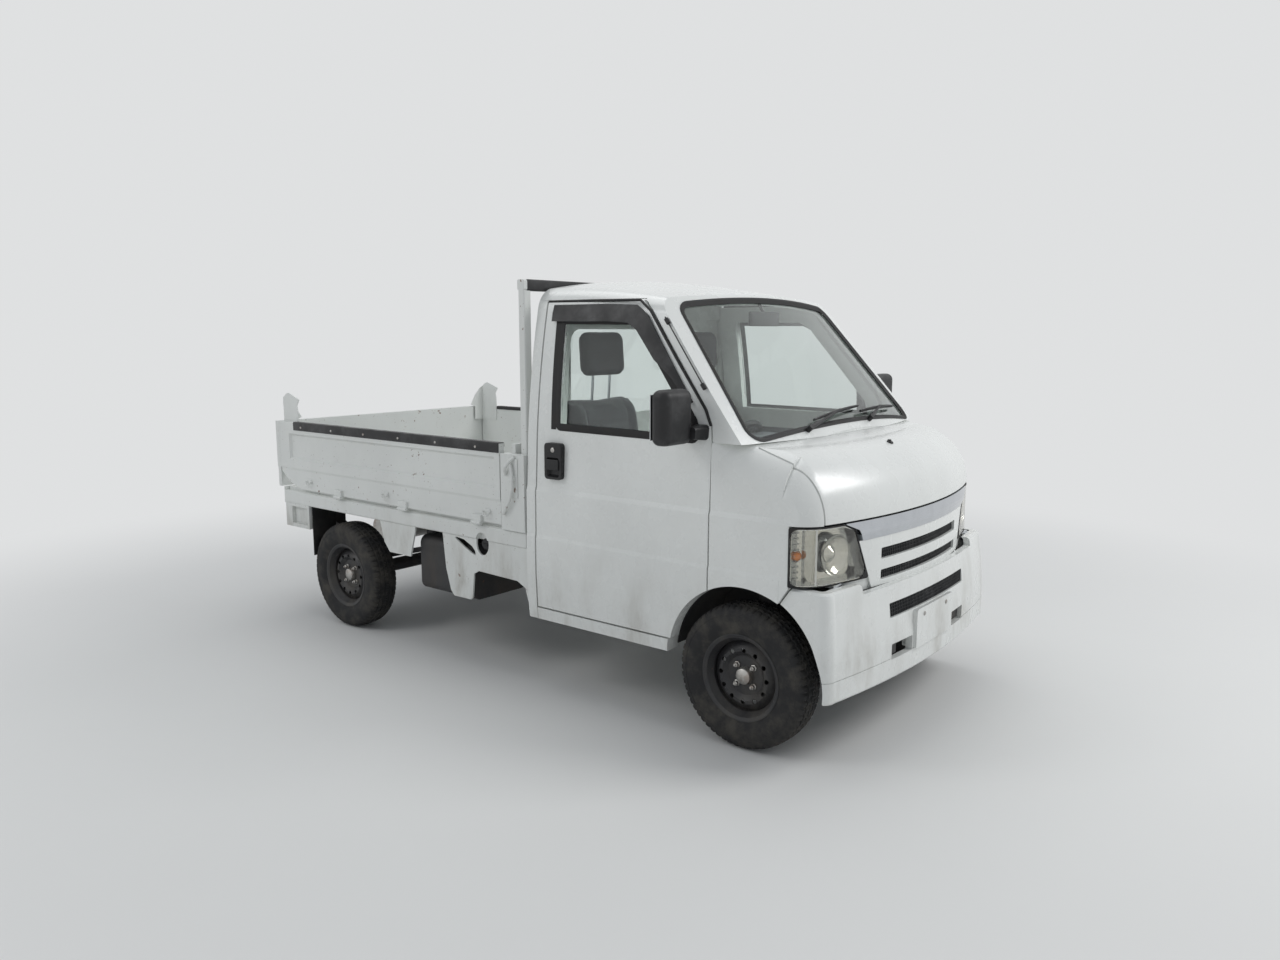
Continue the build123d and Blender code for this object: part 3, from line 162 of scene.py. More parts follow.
def painted(name, base, dirt, roughness, grime, specks, coat=0.0, chips=0.0):
    """Paint with faint unevenness, road grime that thins out upwards, small specks and a few chips."""
    s = Shader(name, Coat_Weight=coat, Coat_Roughness=0.2)
    cloudy = s.span(s.noise(2.3, 5.0), 0.3, 0.7)
    tone = s.mix(cloudy, base, shade(base, 0.93))
    low = s.span(s.height(), GRIME_TOP, GRIME_FULL)
    streaks = s.span(s.noise(7.0, 6.0, 0.65, s.stretched((1.0, 1.0, 0.35))), 0.42, 0.72)
    patches = s.times(s.math("ADD", s.times(low, 0.84), 0.045), streaks)
    tone = s.mix(s.times(patches, grime), tone, dirt)
    dots = s.span(s.noise(85.0, 2.0, 0.5), 0.70, 0.76)
    tone = s.mix(s.times(dots, specks), tone, shade(dirt, 0.8))
    if chips:
        spots = s.span(s.noise(38.0, 3.0, 0.6), 0.66, 0.69)
        worn = s.span(s.noise(3.1, 3.0), 0.5, 0.62)
        tone = s.mix(s.times(s.times(spots, worn), chips), tone, CHIP_COLOUR)
    s.colour(tone)
    gloss = s.span(s.noise(11.0, 4.0), 0.3, 0.7, roughness - 0.04, roughness + 0.06)
    s.rough(s.math("ADD", s.times(patches, 0.35), gloss))
    s.bump(s.noise(260.0, 2.0), 0.05, 0.0006)
    return s.material


def moulded(name, base, roughness, grain=900.0, dust=0.25):
    """Moulded plastic with a fine grain and a little dust."""
    s = Shader(name, Specular_IOR_Level=0.35)
    dusty = s.span(s.noise(9.0, 6.0, 0.6), 0.45, 0.75)
    s.colour(s.mix(s.times(dusty, dust), base, shade(base, 0.5, 0.16)))
    s.rough(s.span(s.noise(14.0, 3.0), 0.3, 0.7, roughness - 0.06, roughness + 0.1))
    s.bump(s.cells(grain), 0.25, 0.0004)
    return s.material


def metal(name, base, roughness, brushed=False, rust=0.0, stains=0.5):
    """Bare metal with stains and, where asked, drawn lines and rust."""
    s = Shader(name, Metallic=1.0)
    stain = s.span(s.noise(16.0, 6.0, 0.65), 0.4, 0.7)
    tone = s.mix(s.times(stain, stains), base, shade(base, 0.6))
    if rust:
        spots = s.span(s.noise(24.0, 8.0, 0.7), 0.5, 0.62)
        tone = s.mix(s.times(spots, rust), tone, RUST)
    s.colour(tone)
    s.rough(s.span(s.noise(40.0, 3.0), 0.3, 0.7, roughness - 0.05, roughness + 0.12))
    if brushed:
        s.bump(s.noise(60.0, 2.0, 0.5, s.stretched((1.0, 18.0, 18.0))), 0.12, 0.0004)
    return s.material


def see_through(name, tint, roughness, haze, haze_colour):
    """Glass with faint dirt; lamps shine through it without bending."""
    s = Shader(name, Transmission_Weight=1.0, IOR=1.45)
    smear = s.span(s.noise(5.0, 6.0, 0.6), 0.35, 0.75)
    s.colour(s.mix(s.times(smear, haze), tint, haze_colour))
    s.rough(s.span(smear, 0.0, 1.0, roughness, roughness + 0.03))
    shadow = s.node("LightPath").outputs["Is Shadow Ray"]
    clear = s.node("BsdfTransparent", Color=tint)
    s.show(s.either(shadow, s.surface.outputs[0], clear.outputs[0]))
    return s.material


def woven(name, base, second, scale, sheen):
    """Seat cloth: two crossing threads, a fleck of the second colour, and a soft sheen."""
    s = Shader(name, Sheen_Weight=sheen, Sheen_Roughness=0.5, Roughness=0.92)
    threads = s.times(s.math("ADD", s.wave(scale, "X"), s.wave(scale, "Y")), s.wave(scale, "Z"))
    fleck = s.span(s.noise(scale * 1.4, 2.0), 0.52, 0.66)
    worn = s.span(s.noise(6.0, 5.0), 0.35, 0.7)
    tone = s.mix(s.times(fleck, 0.7), base, second)
    s.colour(s.mix(s.times(worn, 0.25), tone, shade(base, 1.5, 0.02)))
    s.bump(threads, 0.45, 0.0008)
    return s.material


def rubber(name, base, roughness, dust):
    """Rubber with road dust held in its surface."""
    s = Shader(name, Specular_IOR_Level=0.3)
    dusty = s.span(s.noise(12.0, 7.0, 0.65), 0.4, 0.7)
    s.colour(s.mix(s.times(dusty, dust), base, ROAD_DUST))
    s.rough(s.span(dusty, 0.0, 1.0, roughness, min(1.0, roughness + 0.2)))
    s.bump(s.noise(420.0, 3.0), 0.3, 0.0005)
    return s.material


def ribbed_lens(name, base, roughness):
    """A glossy coloured lens with upright ribs."""
    s = Shader(name, Base_Color=base, Roughness=roughness, Coat_Weight=0.6)
    s.bump(s.wave(60.0, "X"), 0.3, 0.0008)
    return s.material


def silvered(name, base):
    """Mirror glass with faint smears."""
    s = Shader(name, Base_Color=base, Metallic=1.0)
    s.rough(s.span(s.noise(20.0, 4.0), 0.3, 0.7, 0.02, 0.07))
    return s.material


GRIME = (0.30, 0.27, 0.22)
PAINT = painted("body_paint", (0.80, 0.815, 0.79), GRIME, 0.26, 0.55, 0.12, coat=0.5)
BED_PAINT = painted("bed_paint", (0.74, 0.755, 0.73), GRIME, 0.42, 0.9, 0.55, chips=0.8)
FRAME_PAINT = painted("frame_paint", (0.022, 0.022, 0.024), (0.075, 0.065, 0.055), 0.5, 0.9, 0.4, chips=0.4)
UNDERSEAL = painted("underseal", (0.030, 0.030, 0.031), (0.085, 0.075, 0.062), 0.78, 0.9, 0.3)
WHEEL_PAINT = painted("wheel_paint", (0.02, 0.02, 0.022), (0.10, 0.09, 0.075), 0.42, 0.8, 0.5, chips=0.5)
BLACK = moulded("black_plastic", (0.018, 0.018, 0.019), 0.42)
INTERIOR = moulded("interior_plastic", (0.10, 0.105, 0.115), 0.62)
GLASS = see_through("window_glass", (0.85, 0.895, 0.88), 0.0, 0.05, (0.62, 0.64, 0.60))
LENS = see_through("lamp_lens", (0.92, 0.90, 0.82), 0.03, 0.35, (0.80, 0.74, 0.54))
CHROME = metal("chrome_trim", (0.56, 0.58, 0.61), 0.07, stains=0.15)
STEEL = metal("bare_steel", (0.46, 0.45, 0.43), 0.36, brushed=True, rust=0.35)
CAST = metal("cast_metal", (0.42, 0.42, 0.42), 0.5, rust=0.25)
TYRE = rubber("tyre_rubber", (0.020, 0.020, 0.021), 0.72, 0.35)
SEAL = rubber("seal_rubber", (0.014, 0.014, 0.015), 0.55, 0.12)
CLOTH = woven("seat_cloth", (0.050, 0.052, 0.058), (0.16, 0.165, 0.18), 900.0, 0.4)
VINYL = moulded("seat_vinyl", (0.045, 0.045, 0.05), 0.55, 700.0, 0.15)
RED_LENS = ribbed_lens("tail_lens", (0.42, 0.012, 0.012), 0.12)
AMBER_LENS = ribbed_lens("amber_lens", (0.72, 0.21, 0.015), 0.14)
CLEAR_LENS = ribbed_lens("reversing_lens", (0.72, 0.72, 0.70), 0.16)
# Dark netting, also used on the dark sheet behind it, which is painted shade inside the nose
DARK_MESH_AND_SHADE = moulded("grille_mesh_and_shade", (0.030, 0.031, 0.033), 0.42)
MIRROR_GLASS = silvered("mirror_glass", (0.70, 0.72, 0.74))

FINISH = [
    (PAINT, ["cab_back", "roof", "windscreen_frame", "front_fenders", "front_bumper", "grille",
             "door_right", "door_left", "hood", "cab_floor"]),
    (UNDERSEAL, ["front_bulkhead"]),
    (BED_PAINT, ["bed_deck", "guard_frame", "side_panels", "gate_right", "gate_left", "tailgate"]),
    (FRAME_PAINT, ["frame_rails", "cross_members", "suspension", "fuel_tank", "knuckle_right",
                   "knuckle_left"]),
    (WHEEL_PAINT, ["rim_front_right", "rim_front_left", "rim_rear_right", "rim_rear_left"]),
    (BLACK, ["door_fittings_right", "door_fittings_left", "steering_wheel", "wipers"]),
    (INTERIOR, ["dashboard"]),
    (GLASS, ["cab_glass", "door_glass_right", "door_glass_left"]),
    (LENS, ["headlamps"]),
    (RED_LENS, ["tail_lamps"]),
    (CHROME, ["grille_trim", "lamp_housings"]),
    (TYRE, ["tyre_front_right", "tyre_front_left", "tyre_rear_right", "tyre_rear_left"]),
    (CLOTH, ["seats"]),
    (STEEL, ["exhaust"]),
    (CAST, ["engine_and_radiator"]),
]
for finish, names in FINISH:
    for node_name in names:
        for material_slot in NODES[node_name].material_slots:
            material_slot.material = finish


# Mesh building blocks
SMOOTH = 35.0


def finish_piece(obj, body, material, smooth):
    """Gives an object its material and its sharp edges, and lets it ride on a body."""
    mesh = obj.data
    mesh.materials.clear()
    mesh.materials.append(material)
    bm = bmesh.new()
    bm.from_mesh(mesh)
    bmesh.ops.recalc_face_normals(bm, faces=bm.faces)
    limit = math.radians(smooth)
    for face in bm.faces:
        face.smooth = True
    for edge in bm.edges:
        edge.smooth = len(edge.link_faces) == 2 and edge.calc_face_angle() < limit
    bm.to_mesh(mesh)
    bm.free()
    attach(obj, body)
    return obj


def circle(middle, across, up, radius, count):
    """Points round a middle, from the direction across towards the direction up."""
    angles = [2 * math.pi * k / count for k in range(count)]
    return [middle + (across * math.cos(angle) + up * math.sin(angle)) * radius for angle in angles]


class Build:
    """Vertices and faces gathered from simple solids."""

    def __init__(self, verts=(), faces=()):
        self.verts = list(verts)
        self.faces = list(faces)

    def add(self, verts, faces):
        start = len(self.verts)
        self.verts.extend(Vector(v) for v in verts)
        self.faces.extend(tuple(i + start for i in face) for face in faces)

    def box(self, low, high, round_by=0.0, segments=2):
        bm = bmesh.new()
        middle = (Vector(low) + Vector(high)) / 2
        size = Vector(high) - Vector(low)
        bmesh.ops.create_cube(bm, size=1.0, matrix=Matrix.Diagonal((*size, 1.0)))
        if round_by:
            bmesh.ops.bevel(bm, geom=bm.edges[:], offset=round_by, segments=segments, affect="EDGES",
                            profile=0.6)
        bmesh.ops.translate(bm, vec=middle, verts=bm.verts[:])
        bm.verts.index_update()
        self.add([v.co.copy() for v in bm.verts], [[v.index for v in face.verts] for face in bm.faces])
        bm.free()

    def strip(self, rows, closed=False):
        """A solid swept through rings of equal length, with its ends closed unless it meets itself."""
        sides = len(rows[0])
        count = len(rows)
        faces = []
        for i in range(count if closed else count - 1):
            j = (i + 1) % count
            for k in range(sides):
                m = (k + 1) % sides
                faces.append((i * sides + k, i * sides + m, j * sides + m, j * sides + k))
        if not closed:
            faces.append(tuple(range(sides))[::-1])
            faces.append(tuple((count - 1) * sides + k for k in range(sides)))
        self.add([v for row in rows for v in row], faces)

    def tube(self, points, radius, sides=12):
        """A round bar along points."""
        points = [Vector(p) for p in points]
        rings = []
        normal = None
        for i, point in enumerate(points):
            before = points[max(i - 1, 0)]
            after = points[min(i + 1, len(points) - 1)]
            along = (after - before).normalized()
            if normal is None:
                normal = along.orthogonal().normalized()
            normal = (normal - along * normal.dot(along)).normalized()
            rings.append(circle(point, normal, along.cross(normal), radius, sides))
        self.strip(rings)

    def turned(self, profile, origin, axis, segments=32, closed=False):
        """A profile of (along, radius) turned about an axis."""
        axis = Vector(axis).normalized()
        side = axis.orthogonal().normalized()
        other = axis.cross(side)
        origin = Vector(origin)
        rings = [circle(origin + axis * along, side, other, radius, segments) for along, radius in profile]
        self.strip(rings, closed)

    def mirrored(self):
        return Build([Vector((-v.x, v.y, v.z)) for v in self.verts], [face[::-1] for face in self.faces])

    def make(self, name, body, material, slot_name, smooth=SMOOTH):
        """A mesh object in the row frame, riding on a body."""
        mesh = bpy.data.meshes.new(name)
        mesh.from_pydata([tuple(v) for v in self.verts], [], self.faces)
        mesh.validate()
        obj = bpy.data.objects.new(name, mesh)
        COLLECTION.objects.link(obj)
        return finish_piece(obj, body, material, smooth)


def both_sides(build, name, body, material, slot_name, smooth=SMOOTH):
    """The piece as built for the right, and its mirror image for the left, each on its side's body."""
    for side, part in (("right", build), ("left", build.mirrored())):
        part.make(f"{name}_{side}", body if body == "root" else f"{body}_{side}", material, slot_name, smooth)


def inward(points, distance):
    """A closed outline drawn in by a distance."""
    result = []
    for i, point in enumerate(points):
        along = (points[(i + 1) % len(points)] - points[i - 1]).normalized()
        result.append(point + Vector((-along.y, along.x)) * distance)
    return result


def rounded_outline(corners, radius, steps=6):
    """A closed outline with round corners, in a plane."""
    points = []
    for i, corner in enumerate(corners):
        corner = Vector(corner)
        back = (Vector(corners[i - 1]) - corner).normalized()
        on = (Vector(corners[(i + 1) % len(corners)]) - corner).normalized()
        half = math.acos(max(-1, min(1, back.dot(on)))) / 2
        reach = radius / math.tan(half)
        middle = corner + (back + on).normalized() * (radius / math.sin(half))
        first = corner + back * reach - middle
        last = corner + on * reach - middle
        for k in range(steps + 1):
            t = k / steps
            arm = first * (1 - t) + last * t
            points.append(middle + arm.normalized() * radius)
    return points


def divided(points, gap):
    """The same closed outline with long runs divided, so that it can follow a bowed surface."""
    result = []
    for a, b in zip(points, points[1:] + points[:1]):
        parts = max(1, int((b - a).length / gap))
        result.extend(a + (b - a) * (k / parts) for k in range(parts))
    return result


def moulding(place, edges, section):
    """Rings of a strip on a skin, where place sets a point over it.

    The section lists which edge each point of a ring is on, and how proud of the skin it is.
    """
    return [[place(*points[edge], proud) for edge, proud in section] for points in zip(*edges)]


# Tyres: tread ribs and sipes, shoulder blocks, and bead lines on the side walls
WHEEL_Z = 0.271
HALF_TRACK = 0.645
FRONT_AXLE = -1.259
REAR_AXLE = 1.161
TYRE_OUTLINE = [
    # across, radius, how far a sipe cuts it
    (0.0530, 0.1535, 0.0),
    (0.0585, 0.1560, 0.0),
    (0.0600, 0.1640, 0.0),
    (0.0655, 0.1740, 0.0),
    (0.0705, 0.1930, 0.0),
    (0.0722, 0.2080, 0.0),
    (0.0716, 0.2200, 0.0),
    (0.0700, 0.2340, 0.0),
    (0.0712, 0.2352, 0.0),
    (0.0690, 0.2440, 0.0),
    (0.0655, 0.2530, 0.5),
    (0.0600, 0.2612, 1.0),
    (0.0520, 0.2655, 1.0),
    (0.0420, 0.2680, 1.0),
    (0.0395, 0.2625, 0.0),
    (0.0345, 0.2625, 0.0),
    (0.0320, 0.2695, 1.0),
    (0.0170, 0.2705, 1.0),
    (0.0145, 0.2640, 0.0),
    (0.0095, 0.2640, 0.0),
    (0.0070, 0.2708, 1.0),
]
INNER_FACE = [(-0.048, 0.153, 0.0), (0.048, 0.153, 0.0)]
SIPES = 60
SIPE_PITCH = 4
SIPE_DEPTH = 0.0055
MIDDLE_RIBS = 0.03
NUT_CIRCLE = 0.050


def tyre(corner, side, axle_y):
    """Tread and side walls of a tyre; the sipes are set off between the ribs and from left to right."""
    middle = Vector((side * HALF_TRACK, axle_y, WHEEL_Z))
    other_half = [(-across, radius, cut) for across, radius, cut in reversed(TYRE_OUTLINE)]
    steps = SIPES * SIPE_PITCH
    rings = []
    for across, radius, cut in TYRE_OUTLINE + other_half + INNER_FACE:
        offset = (2 if across > 0 else 0) + (1 if abs(across) < MIDDLE_RIBS else 0)
        ring = []
        for step in range(steps):
            angle = 2 * math.pi * step / steps
            r = radius - (SIPE_DEPTH * cut if (step + offset) % SIPE_PITCH == 0 else 0.0)
            ring.append(middle + Vector((across, r * math.cos(angle), r * math.sin(angle))))
        rings.append(ring)
    tread = Build()
    tread.strip(rings, closed=True)
    made = tread.make(f"tread_{corner}", f"wheel_{corner}", TYRE, "tyre_rubber", 28.0)
    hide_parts(f"tyre_{corner}")


def wheel_hub(corner, side, axle_y):
    """The hub's cap and four wheel nuts, each with its collar and stud."""
    middle = Vector((side * (HALF_TRACK + 0.022), axle_y, WHEEL_Z))
    axis = Vector((side, 0, 0))
    hub = Build()
    cap = [(0.0002, 0.034), (0.012, 0.033), (0.020, 0.029), (0.026, 0.018), (0.028, 0.004)]
    hub.turned(cap, middle, axis)
    for k in range(4):
        angle = math.pi / 4 + k * math.pi / 2
        place = middle + Vector((0, math.cos(angle), math.sin(angle))) * NUT_CIRCLE
        hub.turned([(0.0002, 0.0125), (0.003, 0.0125), (0.0045, 0.0098)], place, axis, 6)
        hub.turned([(0.004, 0.0098), (0.0145, 0.0095), (0.018, 0.006)], place, axis, 6)
        hub.turned([(0.016, 0.0045), (0.022, 0.0045), (0.023, 0.003)], place, axis, 10)
    hub.make(f"hub_{corner}", f"wheel_{corner}", STEEL, "bare_steel", 30.0)


for axle_name, axle_place in (("front", FRONT_AXLE), ("rear", REAR_AXLE)):
    for side_name, side_sign in (("right", -1), ("left", 1)):
        tyre(f"{axle_name}_{side_name}", side_sign, axle_place)
        wheel_hub(f"{axle_name}_{side_name}", side_sign, axle_place)


# Seats: crowned cushions with side bolsters and sewn channels
RIM_PULL = 0.035
TAPER = 0.05
TAPER_START = 0.8
FLAT_RIM = 0.25
BOLSTER_PLACE = 0.78
BOLSTER_WIDTH = 0.13
PANEL_EDGE = 0.62
SEAM_DEPTH = 0.009
SEAM_WIDTH = 0.022
GROOVE_WIDTH = 0.025


def ridge(distance, width):
    """The height of a soft ridge of height 1, at a distance from its middle line."""
    return math.exp(-(distance / width) ** 2)


def tapered(share):
    """How much narrower a cushion is near its ends."""
    return 1 - TAPER * max(0.0, abs(share) - TAPER_START) / (1 - TAPER_START)


def crowned(width, length, thick, cuts, bolster, channels):
    """A cushion lying flat: crowned top, pulled-in sides, raised side bolsters, sewn lines across."""
    top, bottom = [], []
    n = cuts + 1
    for j in range(n):
        for i in range(n):
            u = i / cuts * 2 - 1
            v = j / cuts * 2 - 1
            on_rim = max(abs(u), abs(v)) > 0.99
            pull = 1.0 - RIM_PULL * (1 - (abs(u) * abs(v)) ** 0.5) if on_rim else 1.0
            x = u * width / 2 * tapered(v) * pull
            y = v * length / 2 * tapered(u) * pull
            corner = (abs(u) ** 6 + abs(v) ** 6) ** (1 / 6)
            drop = max(0.0, 1 - corner ** 8)
            rise = thick / 2 * (FLAT_RIM + (1 - FLAT_RIM) * drop ** 0.35)
            lift = bolster * ridge(abs(u) - BOLSTER_PLACE, BOLSTER_WIDTH)
            seam = sum(SEAM_DEPTH * ridge(v - c, SEAM_WIDTH) for c in channels if abs(u) < PANEL_EDGE)
            groove = SEAM_DEPTH * ridge(abs(u) - PANEL_EDGE, GROOVE_WIDTH)
            top.append((x, y, rise + (lift - seam - groove) * drop))
            bottom.append((x, y, -rise))
    offset = n * n
    faces = []
    for j in range(cuts):
        for i in range(cuts):
            a = j * n + i
            faces.append((a, a + 1, a + n + 1, a + n))
            faces.append((offset + a, offset + a + n, offset + a + n + 1, offset + a + 1))
    rim = list(range(n)) + [j * n + cuts for j in range(1, n)]
    rim += [cuts * n + i for i in range(cuts - 1, -1, -1)] + [j * n for j in range(cuts - 1, 0, -1)]
    for a, b in zip(rim, rim[1:] + rim[:1]):
        faces.append((a, a + offset, b + offset, b))
    return top + bottom, faces


VOXEL = 0.009
PRESSURE = 3.0
SWELL_FRAMES = 16


def evaluated_mesh(obj):
    """The mesh of an object as its modifiers leave it."""
    return bpy.data.meshes.new_from_object(obj.evaluated_get(bpy.context.evaluated_depsgraph_get()))


def puffed(obj, cap):
    """Swells a closed cushion as stuffed cloth, keeping each point within a cap of where it was."""
    remesh = obj.modifiers.new("even", "REMESH")
    remesh.mode = "VOXEL"
    remesh.voxel_size = VOXEL
    start = evaluated_mesh(obj)
    obj.modifiers.clear()
    old = obj.data
    obj.data = start
    bpy.data.meshes.remove(old)
    cloth = obj.modifiers.new("cloth", "CLOTH")
    cloth.settings.quality = 5
    cloth.settings.mass = 0.3
    cloth.settings.tension_stiffness = 40.0
    cloth.settings.compression_stiffness = 40.0
    cloth.settings.bending_stiffness = 8.0
    cloth.settings.use_pressure = True
    cloth.settings.uniform_pressure_force = PRESSURE
    cloth.settings.effector_weights.gravity = 0.0
    cloth.point_cache.frame_start = 1
    cloth.point_cache.frame_end = SWELL_FRAMES
    before = [v.co.copy() for v in obj.data.vertices]
    for number in range(1, SWELL_FRAMES + 1):
        bpy.context.scene.frame_set(number)
    made = evaluated_mesh(obj)
    obj.modifiers.clear()
    for v, rest in zip(made.vertices, before):
        step = v.co - rest
        if step.length > cap:
            v.co = rest + step.normalized() * cap
    obj.data = made
    bpy.context.scene.frame_set(1)


def cushion(name, size, place, lean, bolster, channels, material, cap=0.010, cuts=36):
    """A padded piece of a seat, made lying flat and then leaned back at its place."""
    verts, faces = crowned(*size, cuts, bolster, channels)
    mesh = bpy.data.meshes.new(name)
    mesh.from_pydata(verts, [], faces)
    obj = bpy.data.objects.new(name, mesh)
    COLLECTION.objects.link(obj)
    puffed(obj, cap)
    obj.data.transform(Matrix.Translation(place) @ Matrix.Rotation(math.radians(lean), 4, "X"))
    finish_piece(obj, "root", material, 60.0)
    return obj


BASE_SIZE = (0.455, 0.49, 0.13)
BACK_SIZE = (0.455, 0.57, 0.095)
HEAD_REST_SIZE = (0.245, 0.185, 0.075)
BASE_CHANNELS = (-0.45, -0.05, 0.35)
BACK_CHANNELS = (-0.5, -0.15, 0.2, 0.55)
STAY_LINE = [(-0.292, 1.20), (-0.300, 1.30), (-0.303, 1.36)]
for side_name, x in (("right", -0.36), ("left", 0.36)):
    base = cushion(f"seat_base_{side_name}", BASE_SIZE, (x, -0.600, 0.690), -4, 0.018, BASE_CHANNELS, CLOTH)
    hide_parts("seats")
    cushion(f"seat_back_{side_name}", BACK_SIZE, (x, -0.318, 0.955), 80, 0.022, BACK_CHANNELS, CLOTH)
    cushion(f"head_rest_{side_name}", HEAD_REST_SIZE, (x, -0.305, 1.420), 86, 0.0, (), VINYL, 0.008, 24)
    stays = Build()
    for stay_x in (x - 0.055, x + 0.055):
        stays.tube([(stay_x, y, z) for y, z in STAY_LINE], 0.006)
    stays.make(f"head_rest_stays_{side_name}", "root", CHROME, "chrome_trim")
    runner = Build()
    runner.box((x - 0.20, -0.80, 0.603), (x + 0.20, -0.40, 0.628), 0.006)
    runner.make(f"seat_runner_{side_name}", "root", BLACK, "black_plastic")


# Rubber round the windscreen, on the same bowed slope as the glass
SCREEN_FOOT_Y = -1.271
SCREEN_FOOT_Z = 1.122
SCREEN_RUN = 0.424
SCREEN_RISE = 0.486
SCREEN_SLOPE = Vector((0, SCREEN_RUN, SCREEN_RISE)).normalized()
SCREEN_OUT = Vector((0, -SCREEN_RISE, SCREEN_RUN)).normalized()
SCREEN_HEIGHT = math.hypot(SCREEN_RUN, SCREEN_RISE)
SCREEN_BOW = 3.650
FOOT_HALF = 0.661
TOP_HALF = 0.562


def bow_depth(half):
    return SCREEN_BOW - math.sqrt(SCREEN_BOW ** 2 - half ** 2)


def on_screen(x, climb, proud):
    """A point over the windscreen: across, up its slope from the foot, and out from the skin."""
    rise = bow_depth(FOOT_HALF) - bow_depth(x)
    return Vector((x, SCREEN_FOOT_Y, SCREEN_FOOT_Z)) + SCREEN_SLOPE * climb + SCREEN_OUT * (proud + rise)


SCREEN_CORNERS = [(-FOOT_HALF, 0), (FOOT_HALF, 0), (TOP_HALF, SCREEN_HEIGHT), (-TOP_HALF, SCREEN_HEIGHT)]
SCREEN_EDGE = divided(rounded_outline(SCREEN_CORNERS, 0.060), 0.05)
GASKET_SECTION = [(0, 0.0005), (0, 0.0035), (1, 0.0045), (2, -0.0045), (2, -0.0078), (1, -0.0078)]
gasket = Build()
gasket_edges = [inward(SCREEN_EDGE, distance) for distance in (-0.006, 0.004, 0.018)]
gasket.strip(moulding(on_screen, gasket_edges, GASKET_SECTION), closed=True)
gasket.make("windscreen_seal", "root", SEAL, "black_plastic")

# Skin of the cab side above the belt: it bows out between the belt and the roof edge
BELT = (0.7165, 1.095)
EAVE = (0.6470, 1.606)
SKIN_BOW = 0.009


def skin_x(z):
    """Half width of the cab side at a height."""
    t = (z - BELT[1]) / (EAVE[1] - BELT[1])
    return BELT[0] + (EAVE[0] - BELT[0]) * t + SKIN_BOW * 4 * t * (1 - t)


def on_side(y, z, proud):
    """A point on the right side of the cab, moved out from its skin."""
    return Vector((-skin_x(z) - proud, y, z))


# Rubber round the side windows, wider behind and filled in at the low front corner
WINDOW_CORNERS = [(-0.372, 1.132), (-0.356, 1.560), (-0.716, 1.556), (-0.776, 1.528), (-1.050, 1.192),
                  (-1.066, 1.127)]
WINDOW_EDGE = divided(rounded_outline(WINDOW_CORNERS, 0.018), 0.04)
WINDOW_SECTION = [(0, 0.0004), (0, 0.0035), (1, 0.0048), (2, 0.001), (2, -0.016), (1, -0.012)]
REAR_BAND = [(-0.338 + 0.016 * k / 12, 1.122 + 0.446 * k / 12) for k in range(13)]
REAR_BAND_WIDTH = 0.026
CORNER_PATCH = [(-1.066, 1.182), (-1.050, 1.196), (-1.030, 1.217), (-1.005, 1.246), (-0.982, 1.272)]
CORNER_PATCH_FOOT = 1.130
window_seal = Build()
window_edges = [inward(WINDOW_EDGE, distance) for distance in (0.016, 0.002, -0.014)]
window_seal.strip(moulding(on_side, window_edges, WINDOW_SECTION), closed=True)
band_edges = (REAR_BAND, [(y - REAR_BAND_WIDTH, z) for y, z in REAR_BAND])
window_seal.strip(moulding(on_side, band_edges, [(0, 0.0004), (0, 0.0022), (1, 0.0022), (1, 0.0004)]))
patch_edges = ([(y, CORNER_PATCH_FOOT) for y, z in CORNER_PATCH], CORNER_PATCH)
window_seal.strip(moulding(on_side, patch_edges, [(0, 0.0004), (0, 0.0040), (1, 0.0040), (1, 0.0004)]))
both_sides(window_seal, "window_seal", "door", SEAL, "black_plastic")

# Rain visor along the top of the door and down the pillar, and the gutter over it
VISOR_TOP = [(-0.300, 1.622), (-0.465, 1.622), (-0.600, 1.622), (-0.735, 1.616),
             (-0.796, 1.574), (-0.880, 1.466), (-0.960, 1.364), (-1.040, 1.262)]
VISOR_FOOT = [(-0.306, 1.556), (-0.465, 1.554), (-0.600, 1.554), (-0.708, 1.548),
              (-0.757, 1.518), (-0.852, 1.412), (-0.944, 1.344), (-1.030, 1.250)]
VISOR_MIDDLE = [((a[0] + b[0]) / 2, (a[1] + b[1]) / 2) for a, b in zip(VISOR_TOP, VISOR_FOOT)]
VISOR_SECTION = [(0, 0.001), (0, 0.005), (1, 0.013), (2, 0.016), (2, 0.0135), (1, 0.010)]
visor = Build()
visor.strip(moulding(on_side, (VISOR_TOP, VISOR_MIDDLE, VISOR_FOOT), VISOR_SECTION))
both_sides(visor, "rain_visor", "door", BLACK, "black_plastic")
GUTTER_LINE = [
    # y, z, out from the skin
    (-0.262, 1.636, -0.004),
    (-0.500, 1.636, -0.004),
    (-0.742, 1.634, -0.004),
    (-0.803, 1.592, 0.001),
    (-0.950, 1.415, 0.001),
    (-1.097, 1.238, 0.001),
    (-1.124, 1.182, 0.001),
]
gutter = Build()
gutter.tube([on_side(*point) for point in GUTTER_LINE], 0.0055, 8)
both_sides(gutter, "gutter", "root", SEAL, "black_plastic", 50.0)

# Rod aerial on two clips, on the right pillar
AERIAL_TOP = Vector((-0.663, -0.890, 1.553))
AERIAL_FOOT = Vector((-0.702, -1.084, 1.320))
aerial = Build()
aerial_line = (AERIAL_FOOT - AERIAL_TOP).normalized()
aerial.tube([AERIAL_TOP - aerial_line * 0.02, AERIAL_FOOT + aerial_line * 0.012], 0.0026, 8)
for clip in (AERIAL_TOP, AERIAL_FOOT):
    aerial.tube([clip - aerial_line * 0.011, clip + aerial_line * 0.011], 0.0085)
    aerial.tube([clip, clip + Vector((0.016, 0.010, 0.0))], 0.007, 10)
aerial.make("aerial", "root", BLACK, "black_plastic")

